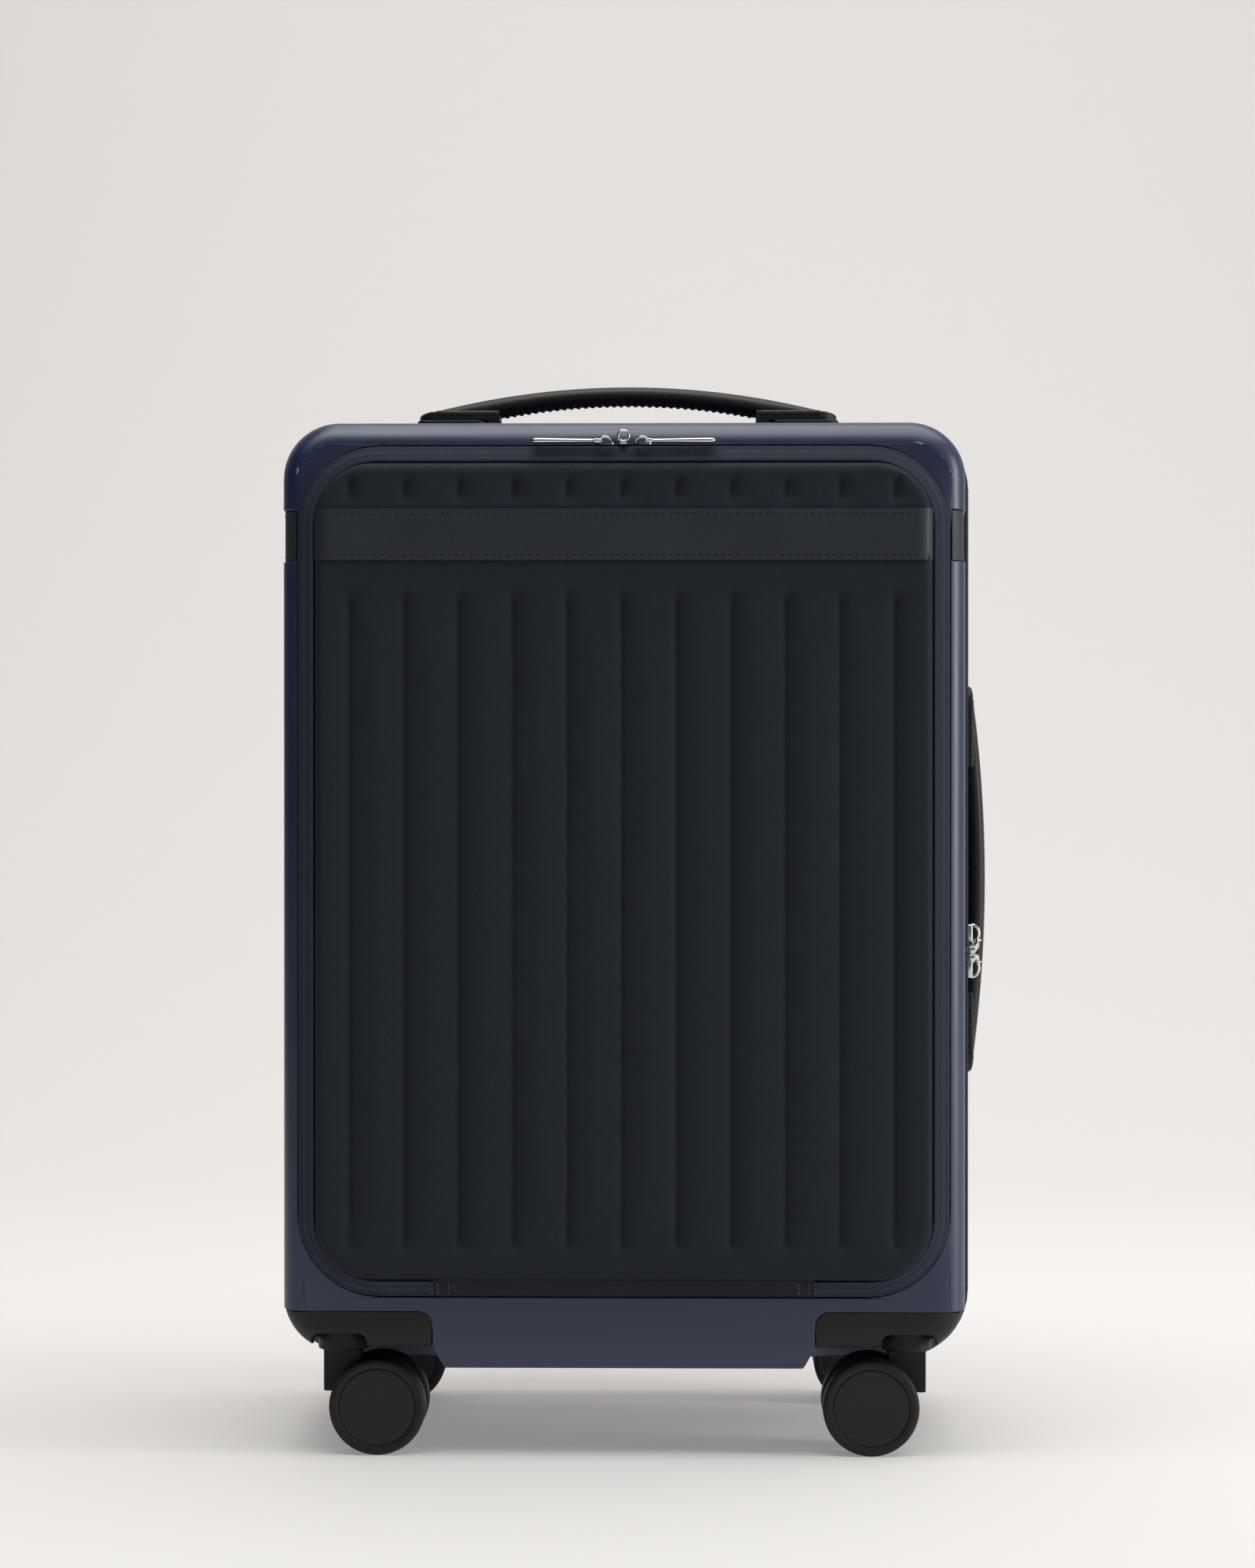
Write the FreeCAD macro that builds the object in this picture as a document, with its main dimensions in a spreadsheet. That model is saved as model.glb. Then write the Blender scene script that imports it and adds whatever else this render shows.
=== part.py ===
import FreeCAD, Part
import math
import os
import Sketcher
from types import SimpleNamespace

# Hard shell cabin suitcase on four double spinner wheels.
# Millimetres, +Z up, the front faces -Y. The origin is on the floor, midway between the casters,
# and the main zip lies in the plane Y = 0.

Vector = FreeCAD.Vector
doc = FreeCAD.newDocument("Suitcase")

# ---- driving dimensions ----
sheet = doc.addObject("Spreadsheet::Sheet", "Sizes")
drivers = {
    # shells
    "case_half_width": 181.5, "case_top": 540, "case_bottom": 40, "corner_round": 34, "draft": 3.2,
    "shell_wall": 3, "front_depth": 108, "rear_depth": 112, "front_round": 14, "rear_round": 20,
    "fit_gap": 0.3, "reach": 60,
    # main zip
    "zip_half": 6, "zip_proud": 3, "zip_seam": 0.25, "hinge_x": 184.8, "hinge_low": 110, "hinge_high": 470,
    # leather band and its channel
    "band_low": 463, "band_width": 26.5, "band_start": 2, "channel_depth": 1.6, "leather": 0.8,
    # ribs on the back
    "rib_pitch": 28, "rib_width": 6, "rib_depth": 1.2, "rib_low": 96, "rib_high": 508,
    # caster wells and brackets
    "swivel_x": 147, "swivel_y": 80, "well_inner": 98.5, "well_back": 29, "well_roof": 66, "well_round": 24,
    "flare_low": 38, "flare_top": 60, "flare_spread": 9, "flare_angle": 24,
    "bracket_low": 57, "bracket_top": 76, "bracket_wall": 2, "bracket_bottom": 48.5, "bracket_plate": 3,
    "bracket_round": 7, "screw_out": 27, "screw_in": 30, "screw_near": 14, "screw_far": 12,
    "notch_round": 16.5, "notch_top": 64.3, "notch_corner": 5,
    # casters
    "wheel_radius": 25, "wheel_width": 14.2, "tyre_depth": 5.4, "wheel_trail": 19, "collar_radius": 13.1,
    "collar_low": 53, "neck_half": 10, "neck_thick": 10, "neck_low": 31, "boss_radius": 8.5,
    "axle_radius": 3, "pin_radius": 3, "running_gap": 0.05, "wheel_gap": 0.8, "pin_low": 38,
    "pin_head": 7, "head_thick": 2, "screw_radius": 2, "screw_head": 3.8, "screw_low": 59,
    # front pocket and its flap
    "pocket_half_width": 168.2, "pocket_low": 83.5, "pocket_high": 522.6, "pocket_round": 20,
    "pocket_front": 100, "pocket_back": 76, "pocket_clear": 10, "lining": 1.6, "flap_gap": 0.8,
    "gusset_round": 32,
    "gusset_back": 103, "gusset_run": 8, "panel_inset": 8.8, "panel_round": 24, "panel_front": 116,
    "panel_back": 105, "board_back": 103.4, "band_proud": 1.2, "flap_pivot_y": 110,
    "sleeve_half_width": 150, "sleeve_low": 92, "sleeve_high": 430, "sleeve_thick": 4,
    # small chrome parts on the pocket zip
    "slider_x": 9.7, "slider_y": 111.2, "slider_z": 522.5, "plate_length": 9.8, "plate_thick": 0.7,
    "plate_width": 4.6, "bail_outer": 4.1, "bail_wire": 1, "bail_width": 2.2, "bail_lift": 0.4,
    "pull_pin": 0.5, "pull_length": 36, "pull_width": 5.2, "pull_thick": 3, "cheek_thick": 1.2,
    "pull_start": 3.3, "pull_pin_x": 1.8, "pull_pin_z": 2.05, "cheek_half": 1.05,
    "ring_radius": 3.4, "ring_wire": 0.7,
    # side zip sliders
    "side_slider_z": 257, "side_slider_gap": 17, "side_plate": 12, "side_plate_width": 9.5,
    "side_plate_thick": 2.2, "side_bail_reach": 5.4, "side_pull_tilt": 10,
    # handles
    "handle_half": 114, "handle_rise": 565, "handle_end": 549.5, "handle_under": 554.5,
    "handle_foot": 78, "handle_base": 546, "handle_width": 26, "handle_y": 20, "handle_edge": 4,
    "plate_half": 19, "plate_centre": 96,
    "side_handle_half": 106, "side_handle_z": 295, "side_handle_out": 196.5, "side_handle_end": 190.3,
    "side_handle_in": 188.5, "side_handle_foot": 70, "side_handle_base": 184.2, "side_handle_y": 33,
    "side_handle_width": 24,
    # trolley
    "trolley_x": 78, "trolley_y": 80, "tube_wide": 20, "tube_deep": 14, "tube_wall": 1.2,
    "tube_gap": 0.4, "tube_round": 3, "foot_top": 66, "tube_low": 52, "tub_floor": 521, "tub_half": 105,
    "tub_deep": 12, "tub_wall": 2, "flange_half": 118, "flange_deep": 16, "flange_top": 539.4,
    "middle_low": 58, "inner_low": 64, "grip_low": 524.6, "grip_top": 546, "grip_gap": 0.6,
    "grip_socket": 536, "button_half": 14, "button_deep": 5, "button_low": 540, "button_top": 547.2,
    "button_travel": 2.5, "button_gap": 0.3, "spring_radius": 2.6, "spring_wire": 0.4,
    "spring_low": 530, "spring_turns": 5,
    # inside
    "lining_y": 62, "divider_y": 9, "divider_thick": 2,
    "strap_z": 300, "strap_width": 25, "strap_thick": 1.5, "strap_y": 12, "buckle_half": 24,
    "buckle_thick": 7, "buckle_height": 32,
}
for row, (alias, amount) in enumerate(drivers.items(), start=1):
    sheet.set(f"A{row}", alias)
    sheet.set(f"B{row}", str(amount))
    sheet.setAlias(f"B{row}", alias)
doc.recompute()


class Size:
    """A number with the sheet formula that gives it."""

    def __init__(self, value, formula):
        self.value = value
        self.formula = formula

    def join(self, other, sign, value):
        return Size(value, f"({self.formula} {sign} {as_size(other).formula})")

    def __add__(self, other):
        return self.join(other, "+", self.value + as_size(other).value)

    def __sub__(self, other):
        return self.join(other, "-", self.value - as_size(other).value)

    def __mul__(self, other):
        return self.join(other, "*", self.value * as_size(other).value)

    def __radd__(self, other):
        return as_size(other) + self

    def __rsub__(self, other):
        return as_size(other) - self

    def __rmul__(self, other):
        return as_size(other) * self

    def __neg__(self):
        return as_size(0) - self


def as_size(amount):
    return amount if isinstance(amount, Size) else Size(float(amount), f"({amount})")


mm = SimpleNamespace(**{alias: Size(float(sheet.get(alias)), "Sizes." + alias) for alias in drivers})


# ---- helpers: each one adds objects to the document and binds them to the sheet ----
def bind(item, **amounts):
    for name, amount in amounts.items():
        path = {"x": "Placement.Base.x", "y": "Placement.Base.y", "z": "Placement.Base.z"}.get(name, name)
        item.setExpression(path, as_size(amount).formula)
    return item


def block(name, x, y, z):
    """A box given by three (low, high) pairs."""
    box = doc.addObject("Part::Box", name)
    return bind(box, x=x[0], y=y[0], z=z[0], Length=x[1] - as_size(x[0]), Width=y[1] - as_size(y[0]),
                Height=z[1] - as_size(z[0]))


def rod(name, radius, length, x=0, y=0, z=0, along="Z"):
    turns = {"X": FreeCAD.Rotation(Vector(0, 1, 0), 90), "Y": FreeCAD.Rotation(Vector(1, 0, 0), -90)}
    cylinder = doc.addObject("Part::Cylinder", name)
    cylinder.Placement.Rotation = turns.get(along, FreeCAD.Rotation())
    return bind(cylinder, x=x, y=y, z=z, Radius=radius, Height=length)


def fuse(name, *items):
    whole = doc.addObject("Part::MultiFuse", name)
    whole.Shapes = list(items)
    return whole


def common(name, *items):
    whole = doc.addObject("Part::MultiCommon", name)
    whole.Shapes = list(items)
    return whole


def cut(name, base, *tools):
    result = doc.addObject("Part::Cut", name)
    result.Base = base
    result.Tool = tools[0] if len(tools) == 1 else fuse(name + "_tools", *tools)
    return result


def group(name, *items):
    together = doc.addObject("Part::Compound", name)
    together.Links = list(items)
    return together


def mirrored(name, item, normal=(1, 0, 0)):
    mirror = doc.addObject("Part::Mirroring", name)
    mirror.Source = item
    mirror.Normal = Vector(*normal)
    return mirror


def both_sides(name, item):
    """The piece and its twin across the plane X = 0."""
    return group(name, item, mirrored(name + "_twin", item))


def rounded(name, item, radius, pick):
    """Round the edges of a finished shape that pick chooses."""
    doc.recompute()
    edges = [number for number, edge in enumerate(item.Shape.Edges, start=1) if pick(edge)]
    fillet = doc.addObject("Part::Fillet", name)
    fillet.Base = item
    fillet.Edges = [(number, radius, radius) for number in edges]
    return fillet


def outline(body, plane, low, high, radius):
    """A rounded rectangle on one of the body's own planes."""
    sketch = body.newObject("Sketcher::SketchObject", body.Name + "_outline")
    support = [item for item in body.Origin.OriginFeatures if item.Role == plane][0]
    sketch.AttachmentSupport = (support, [""])
    sketch.MapMode = "FlatFace"
    u0, v0 = (as_size(amount) for amount in low)
    u1, v1 = (as_size(amount) for amount in high)
    radius = as_size(radius)
    left, right, bottom, top, r = u0.value, u1.value, v0.value, v1.value, radius.value
    sides = [((left + r, bottom), (right - r, bottom)), ((right, bottom + r), (right, top - r)),
             ((right - r, top), (left + r, top)), ((left, top - r), (left, bottom + r))]
    centres = [(right - r, bottom + r), (right - r, top - r), (left + r, top - r), (left + r, bottom + r)]
    for start, end in sides:
        sketch.addGeometry(Part.LineSegment(Vector(*start, 0), Vector(*end, 0)), False)
    for corner, centre in enumerate(centres):
        circle = Part.Circle(Vector(*centre, 0), Vector(0, 0, 1), r)
        first = math.radians(90 * corner - 90)
        sketch.addGeometry(Part.ArcOfCircle(circle, first, first + math.pi / 2), False)
    for side in range(4):
        arc = side + 4
        sketch.addConstraint(Sketcher.Constraint("Tangent", side, 2, arc, 1))
        sketch.addConstraint(Sketcher.Constraint("Tangent", arc, 2, (side + 1) % 4, 1))
        sketch.addConstraint(Sketcher.Constraint("Vertical" if side % 2 else "Horizontal", side))
        if side:
            sketch.addConstraint(Sketcher.Constraint("Equal", 4, arc))
    places = (("left", "DistanceX", 3, u0), ("right", "DistanceX", 1, u1), ("bottom", "DistanceY", 0, v0),
              ("top", "DistanceY", 2, v1))
    for word, kind, line, amount in places:
        number = sketch.addConstraint(Sketcher.Constraint(kind, line, 1, amount.value))
        sketch.renameConstraint(number, word)
        sketch.setExpression("Constraints." + word, amount.formula)
    number = sketch.addConstraint(Sketcher.Constraint("Radius", 4, r))
    sketch.renameConstraint(number, "corner")
    sketch.setExpression("Constraints.corner", radius.formula)
    return sketch


def prism(name, plane, low, high, radius, start, depth, taper=0, backwards=False, end_round=None):
    """A padded rounded rectangle; start is where its plane stands along the plane's normal axis."""
    body = doc.addObject("PartDesign::Body", name)
    pad = body.newObject("PartDesign::Pad", name + "_pad")
    pad.Profile = outline(body, plane, low, high, radius)
    pad.Reversed = backwards
    bind(pad, Length=depth, TaperAngle=-as_size(taper))
    body.Tip = pad
    bind(body, **{{"XY_Plane": "z", "XZ_Plane": "y", "YZ_Plane": "x"}[plane]: start})
    doc.recompute()
    if end_round is not None:
        end = pad.Shape.BoundBox.YMax if backwards else pad.Shape.BoundBox.YMin
        far = [f"Edge{n}" for n, edge in enumerate(pad.Shape.Edges, start=1)
               if abs(edge.BoundBox.Center.y - end) < 0.01]
        fillet = body.newObject("PartDesign::Fillet", name + "_round")
        fillet.Base = (pad, far)
        bind(fillet, Radius=end_round)
        body.Tip = fillet
    return body


# lengths that only have to reach past what they cut
reach = mm.reach
far_side = mm.case_half_width + reach
far_depth = mm.rear_depth + reach

nodes = {}


def keep(node, item):
    item.Label = node
    nodes[node] = item
    return item


# ---- the two shells ----
def half(name, side, inset, bottom=None):
    """One half of the case as a solid, every face moved in by inset; side is -1 front, +1 rear."""
    bottom = mm.case_bottom if bottom is None else bottom
    depth = mm.front_depth if side < 0 else mm.rear_depth
    edge = mm.front_round if side < 0 else mm.rear_round
    half_width = mm.case_half_width - inset
    return prism(name, "XZ_Plane", (-half_width, bottom + inset), (half_width, mm.case_top - inset),
                 mm.corner_round - inset, mm.zip_half * side, depth - mm.zip_half - inset, mm.draft,
                 side > 0, edge - inset)


def slab_y(side, near, far):
    """A (low, high) pair along Y for a stretch from near to far on one side of the zip."""
    return (as_size(near), as_size(far)) if side > 0 else (-as_size(far), -as_size(near))


def well(name, side, spread):
    """The room for one caster and its flared mouth, with spread added on every face."""
    def room(word, grow, corner, low, height, taper=0):
        y_low, y_high = slab_y(side, mm.well_back - grow, far_depth)
        return prism(name + word, "XY_Plane", (mm.well_inner - grow, y_low), (far_side, y_high), corner, low,
                     height, taper)

    tall = room("_room", as_size(spread), mm.well_round, -reach, mm.well_roof + spread + reach)
    mouth = room("_mouth", mm.flare_spread + spread, mm.well_round + mm.flare_spread, mm.flare_low,
                 mm.flare_top - mm.flare_low, mm.flare_angle)
    return fuse(name, tall, mouth)


def corner_zone(name, side, low, high):
    return block(name, (mm.well_inner + mm.fit_gap, far_side),
                 slab_y(side, mm.well_back + mm.fit_gap, far_depth), (low, high))


def bracket_zone(name, side, low):
    """The corner up to the bracket's top, with its inner top edge rounded."""
    face = prism(name + "_face", "XZ_Plane", (mm.well_inner + mm.fit_gap, 0), (far_side, mm.bracket_top),
                 mm.bracket_round, (mm.well_back + mm.fit_gap) * side, mm.rear_depth, backwards=side > 0)
    return common(name, face, corner_zone(name + "_slab", side, low, mm.bracket_top))


screw_places = ((-mm.screw_in, mm.screw_out), (-mm.screw_in, -mm.screw_near), (mm.screw_far, mm.screw_in))


def case_half(word, side):
    """The shell, its brackets, swivel pins and screws, and its leather band."""
    outer = half(word + "_outer", side, 0)
    cavity = half(word + "_cavity", side, mm.shell_wall)
    room = well(word + "_well", side, 0)
    room_wall = well(word + "_well_wall", side, mm.shell_wall)
    hollow = cut(word + "_hollow", cavity, room_wall, mirrored(word + "_well_wall_twin", room_wall))

    # brackets: a plate in the roof of each well, with a skirt round the corner of the shell
    raised = half(word + "_raised", side, 0, mm.bracket_bottom)
    raised_in = half(word + "_raised_in", side, mm.bracket_wall, mm.bracket_bottom)
    above_roof = corner_zone(word + "_above_roof", side, mm.well_roof, mm.bracket_top + reach)
    skirt_bed = common(word + "_skirt_bed", raised_in, above_roof)
    seat = cut(word + "_skirt_seat", bracket_zone(word + "_corner", side, mm.well_roof), skirt_bed)
    block_low = bracket_zone(word + "_bracket_zone", side, mm.bracket_low)
    below_roof = corner_zone(word + "_below_roof", side, 0, mm.well_roof)
    well_walls = common(word + "_well_walls", cut(word + "_with_well", outer, room), below_roof)
    bracket = cut(word + "_bracket_body", common(word + "_bracket_outer", raised, block_low), skirt_bed,
                  well_walls)
    y_axis = mm.swivel_y * side
    notch_height = mm.well_roof - mm.bracket_plate
    notch = rod(word + "_notch", mm.notch_round, notch_height, mm.swivel_x, y_axis)
    slot_half = mm.notch_round - mm.bracket_wall
    opening = prism(word + "_notch_front", "XZ_Plane",
                    (mm.swivel_x - slot_half, mm.case_bottom), (mm.swivel_x + slot_half, mm.notch_top),
                    mm.notch_corner, y_axis, reach, backwards=side > 0)
    pin_hole = rod(word + "_pin_hole", mm.pin_radius, reach, mm.swivel_x, y_axis, mm.pin_low)
    holes = [pin_hole]
    pins = [rod(word + "_pin", mm.pin_radius, mm.well_roof + mm.shell_wall - mm.pin_low, mm.swivel_x,
                y_axis, mm.pin_low),
            rod(word + "_pin_head", mm.pin_head, mm.head_thick, mm.swivel_x, y_axis,
                mm.well_roof + mm.shell_wall)]
    screws = []
    for number, (across, along) in enumerate(screw_places):
        place = {"x": mm.swivel_x + across, "y": y_axis - along * side}
        holes.append(rod(f"{word}_screw_hole_{number}", mm.screw_radius, reach, z=mm.screw_low, **place))
        shank = rod(f"{word}_shank_{number}", mm.screw_radius, mm.well_roof + mm.shell_wall - mm.screw_low,
                    z=mm.screw_low, **place)
        head = rod(f"{word}_head_{number}", mm.screw_head, mm.head_thick,
                   z=mm.well_roof + mm.shell_wall, **place)
        screws.append(fuse(f"{word}_screw_{number}", shank, head))
    drilled = fuse(word + "_holes", *holes)
    keep(word + "_brackets", both_sides(word + "_bracket_pair",
                                        cut(word + "_bracket", bracket, notch, opening, drilled)))
    keep(word + "_swivel_pins", both_sides(word + "_pin_pair", fuse(word + "_swivel_pin", *pins)))
    keep(word + "_bracket_screws", both_sides(word + "_screw_set", group(word + "_screws", *screws)))

    # the leather band lies below the surface in its own channel
    floor_solid = half(word + "_channel_floor", side, mm.channel_depth)
    band_solid = half(word + "_band_face", side, mm.channel_depth - mm.leather)
    ring_zone = block(word + "_channel_zone", (-far_side, far_side),
                      slab_y(side, mm.zip_half + mm.band_start, far_depth),
                      (mm.band_low, mm.band_low + mm.band_width))
    channel = cut(word + "_channel", ring_zone, floor_solid)
    band_zone = block(word + "_band_zone", (-far_side, far_side),
                      slab_y(side, mm.zip_half + mm.band_start + mm.fit_gap, far_depth),
                      (mm.band_low + mm.fit_gap, mm.band_low + mm.band_width - mm.fit_gap))
    band = cut(word + "_band_ring", common(word + "_band_outer", band_solid, band_zone), floor_solid)
    shell_cuts = [hollow, room, mirrored(word + "_well_twin", room), seat,
                  mirrored(word + "_seat_twin", seat), channel, drilled,
                  mirrored(word + "_holes_twin", drilled)]
    return outer, band, shell_cuts, hollow


front_outer, front_band, front_cuts, _ = case_half("front", -1)
rear_outer, rear_band, rear_cuts, rear_hollow = case_half("rear", 1)

# front shell: the pocket opening, and the band only on the two sides
cut_start = mm.pocket_clear - mm.pocket_back
pocket_cut = prism("pocket_cut", "XZ_Plane", (-mm.pocket_half_width, mm.pocket_low),
                   (mm.pocket_half_width, mm.pocket_high), mm.pocket_round, cut_start, reach)
keep("front_shell", cut("front_shell_body", front_outer, *front_cuts, pocket_cut))
relief_half = mm.pocket_half_width + mm.leather
band_relief = prism("band_relief", "XZ_Plane", (-relief_half, mm.pocket_low), (relief_half, mm.pocket_high),
                    mm.pocket_round, cut_start, reach)
keep("front_bands", cut("front_band_pair", front_band, band_relief))

# rear shell: shallow vertical grooves on the back, and the opening for the trolley housing
grooves = []
for count in range(-5, 6):
    middle = mm.rib_pitch * count
    grooves.append(prism(f"groove_{count + 5}", "XZ_Plane", (middle - mm.rib_width * 0.5, mm.rib_low),
                         (middle + mm.rib_width * 0.5, mm.rib_high), mm.rib_width * 0.5 - 0.01,
                         mm.rear_depth - mm.rib_depth, reach, backwards=True))
tub_outer = prism("tub_outer", "XY_Plane", (-mm.tub_half, mm.trolley_y - mm.tub_deep),
                  (mm.tub_half, mm.trolley_y + mm.tub_deep), mm.tub_deep - 1, mm.tub_floor,
                  mm.flange_top - mm.tub_floor)
groove_zone = block("groove_zone", (-far_side, far_side), (0, far_depth),
                    (mm.band_low - mm.rib_width, mm.band_low + mm.band_width + mm.rib_width))
keep("rear_shell", cut("rear_shell_body", rear_outer, *rear_cuts, tub_outer,
                       cut("groove_set", fuse("groove_rows", *grooves), groove_zone)))
keep("rear_band", rear_band)

# ---- main zip: one raised tape on each half, and the fabric hinge on the left side ----
zip_cavity_half = mm.case_half_width - mm.shell_wall


def zip_ring(word, side):
    outer = prism(word + "_zip_outer", "XZ_Plane",
                  (-(mm.case_half_width + mm.zip_proud), mm.case_bottom - mm.zip_proud),
                  (mm.case_half_width + mm.zip_proud, mm.case_top + mm.zip_proud),
                  mm.corner_round + mm.zip_proud, mm.zip_seam * side, mm.zip_half - mm.zip_seam,
                  backwards=side > 0)
    inner = prism(word + "_zip_inner", "XZ_Plane", (-zip_cavity_half, mm.case_bottom + mm.shell_wall),
                  (zip_cavity_half, mm.case_top - mm.shell_wall), mm.corner_round - mm.shell_wall,
                  mm.zip_seam * side * -1, mm.zip_half + mm.zip_proud, backwards=side > 0)
    return cut(word + "_zip_ring", outer, inner)


keep("front_zip_tape", zip_ring("front", -1))
hinge_zone = block("hinge_zone", (-far_side, mm.corner_round - mm.case_half_width),
                   (0, reach), (mm.hinge_low, mm.hinge_high))
rear_ring = zip_ring("rear", 1)
keep("hinge_tape", common("hinge_strip", rear_ring, hinge_zone))
keep("rear_zip_tape", cut("rear_tape", rear_ring, hinge_zone))

# ---- front pocket: lining tray, laptop sleeve, zip chain ----
tray_half = mm.pocket_half_width - 2 * mm.fit_gap
tray = prism("tray", "XZ_Plane", (-tray_half, mm.pocket_low + 2 * mm.fit_gap),
             (tray_half, mm.pocket_high - 2 * mm.fit_gap), mm.pocket_round, -mm.pocket_back,
             mm.pocket_front - mm.pocket_back)
tray_room = prism("tray_room", "XZ_Plane", (-(tray_half - mm.lining), mm.pocket_low + mm.lining),
                  (tray_half - mm.lining, mm.pocket_high - mm.lining), mm.pocket_round - mm.lining,
                  -(mm.pocket_back + mm.lining), reach)
keep("pocket_lining", cut("pocket_tray", tray, tray_room))
keep("laptop_sleeve", prism("sleeve", "XZ_Plane", (-mm.sleeve_half_width, mm.sleeve_low),
                            (mm.sleeve_half_width, mm.sleeve_high), 10,
                            -(mm.pocket_back + mm.lining), mm.sleeve_thick))
chain = prism("chain_outer", "XZ_Plane", (-tray_half, mm.pocket_low + 2 * mm.fit_gap),
              (tray_half, mm.pocket_high - 2 * mm.fit_gap), mm.pocket_round, -mm.pocket_front,
              mm.gusset_back - mm.pocket_front - 0.4)
chain_room = prism("chain_room", "XZ_Plane", (-(tray_half - 3), mm.pocket_low + 3),
                   (tray_half - 3, mm.pocket_high - 3), mm.pocket_round - 3, -(mm.pocket_front - 1), 10)
keep("pocket_zip_chain", cut("zip_chain", chain, chain_room))

# ---- pocket flap ----
gusset_half = mm.pocket_half_width - mm.flap_gap
gusset_low = mm.pocket_low + mm.flap_gap
gusset_high = mm.pocket_high - mm.flap_gap
panel_half = mm.pocket_half_width - mm.flap_gap - mm.panel_inset
panel_low = mm.pocket_low + mm.flap_gap + mm.panel_inset
panel_high = mm.pocket_high - mm.flap_gap - mm.panel_inset
gusset = prism("gusset_outer", "XZ_Plane", (-gusset_half, gusset_low), (gusset_half, gusset_high),
               mm.gusset_round, -mm.gusset_back, mm.gusset_run, 45)
gusset_room = prism("gusset_room", "XZ_Plane",
                    (-(panel_half + mm.fit_gap), panel_low - mm.fit_gap),
                    (panel_half + mm.fit_gap, panel_high + mm.fit_gap),
                    mm.panel_round + mm.fit_gap, -(mm.gusset_back - 2), 20)
keep("flap_gusset", cut("gusset", gusset, gusset_room))
keep("flap_panel", prism("panel", "XZ_Plane", (-panel_half, panel_low), (panel_half, panel_high),
                         mm.panel_round, -mm.panel_back, mm.panel_front - mm.panel_back))
keep("flap_board", prism("board", "XZ_Plane", (-(panel_half - 1.5), panel_low + 1.5),
                         (panel_half - 1.5, panel_high - 1.5), mm.panel_round - 1.5, -mm.board_back,
                         mm.panel_back - mm.board_back))
keep("flap_band", block("flap_leather", (-panel_half, panel_half),
                        (-(mm.panel_front + mm.band_proud), -mm.panel_front),
                        (mm.band_low, mm.band_low + mm.band_width)))


# ---- pocket zip sliders with their pulls, built at the origin and then placed ----
def bail(name, axis_z):
    """A D of wire standing in the XZ plane, its flat side at axis_z."""
    loop = rod(name + "_loop", mm.bail_outer, mm.bail_width, 0, -mm.bail_width * 0.5, axis_z, "Y")
    hole = rod(name + "_hole", mm.bail_outer - mm.bail_wire, 10, 0, -5, axis_z, "Y")
    below = block(name + "_below", (-10, 10), (-10, 10), (axis_z - 10, axis_z))
    return cut(name, loop, hole, below)


def top_slider(word, side):
    plate = prism(word + "_plate", "XY_Plane", (-mm.plate_length * 0.5, -mm.plate_width * 0.5),
                  (mm.plate_length * 0.5, mm.plate_width * 0.5), 1.5, 0, mm.plate_thick)
    slider = fuse(word + "_body", plate, bail(word + "_bail", mm.bail_lift))
    bind(slider, x=mm.slider_x * side, y=-mm.slider_y, z=mm.slider_z)
    keep(f"top_slider_{word}", slider)

    pin = rod(word + "_pull_pin", mm.pull_pin, mm.pull_width - 0.4, 0, -mm.pull_width * 0.5 + 0.2, 0, "Y")
    cheeks = []
    for n, start in enumerate((-mm.pull_width * 0.5, mm.pull_width * 0.5 - mm.cheek_thick)):
        eye = rod(f"{word}_eye_{n}", mm.cheek_half, mm.cheek_thick, 0, start, 0, "Y")
        bar = block(f"{word}_cheek_{n}", (0, mm.pull_start + mm.cheek_thick),
                    (start, start + mm.cheek_thick), (-mm.cheek_half, mm.cheek_half))
        cheeks += [eye, bar]
    bar = block(word + "_bar", (mm.pull_start, mm.pull_length - 2),
                (-mm.pull_width * 0.5, mm.pull_width * 0.5), (-mm.pull_thick * 0.5, mm.pull_thick * 0.5))
    tip = rod(word + "_tip", mm.pull_width * 0.5, mm.pull_thick, mm.pull_length - 2, 0,
              -mm.pull_thick * 0.5)
    pull = fuse(word + "_pull", pin, *cheeks, bar, tip)
    if side < 0:
        pull.Placement.Rotation = FreeCAD.Rotation(Vector(0, 0, 1), 180)
    bind(pull, x=(mm.slider_x + mm.pull_pin_x) * side, y=-mm.slider_y, z=mm.slider_z + mm.pull_pin_z)
    keep(f"top_pull_{word}", pull)


top_slider("left", -1)
top_slider("right", 1)

# a double ring stands between the two sliders for a padlock
rings = []
for number, offset in enumerate((-1.1, 1.1)):
    ring = doc.addObject("Part::Torus", f"lock_ring_{number}")
    ring.Placement.Rotation = FreeCAD.Rotation(Vector(1, 0, 0), 90)
    bind(ring, Radius1=mm.ring_radius - mm.ring_wire, Radius2=mm.ring_wire, y=-(mm.slider_y + offset),
         z=mm.slider_z + mm.ring_radius + 1)
    rings.append(ring)
ring_foot = block("lock_foot", (-2, 2), (-(mm.slider_y + 2), -(mm.slider_y - 4)),
                  (mm.slider_z + 0.2, mm.slider_z + 2.2))
keep("lock_ring", cut("lock_ring_body", fuse("lock_rings", *rings, ring_foot), front_outer))


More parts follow.
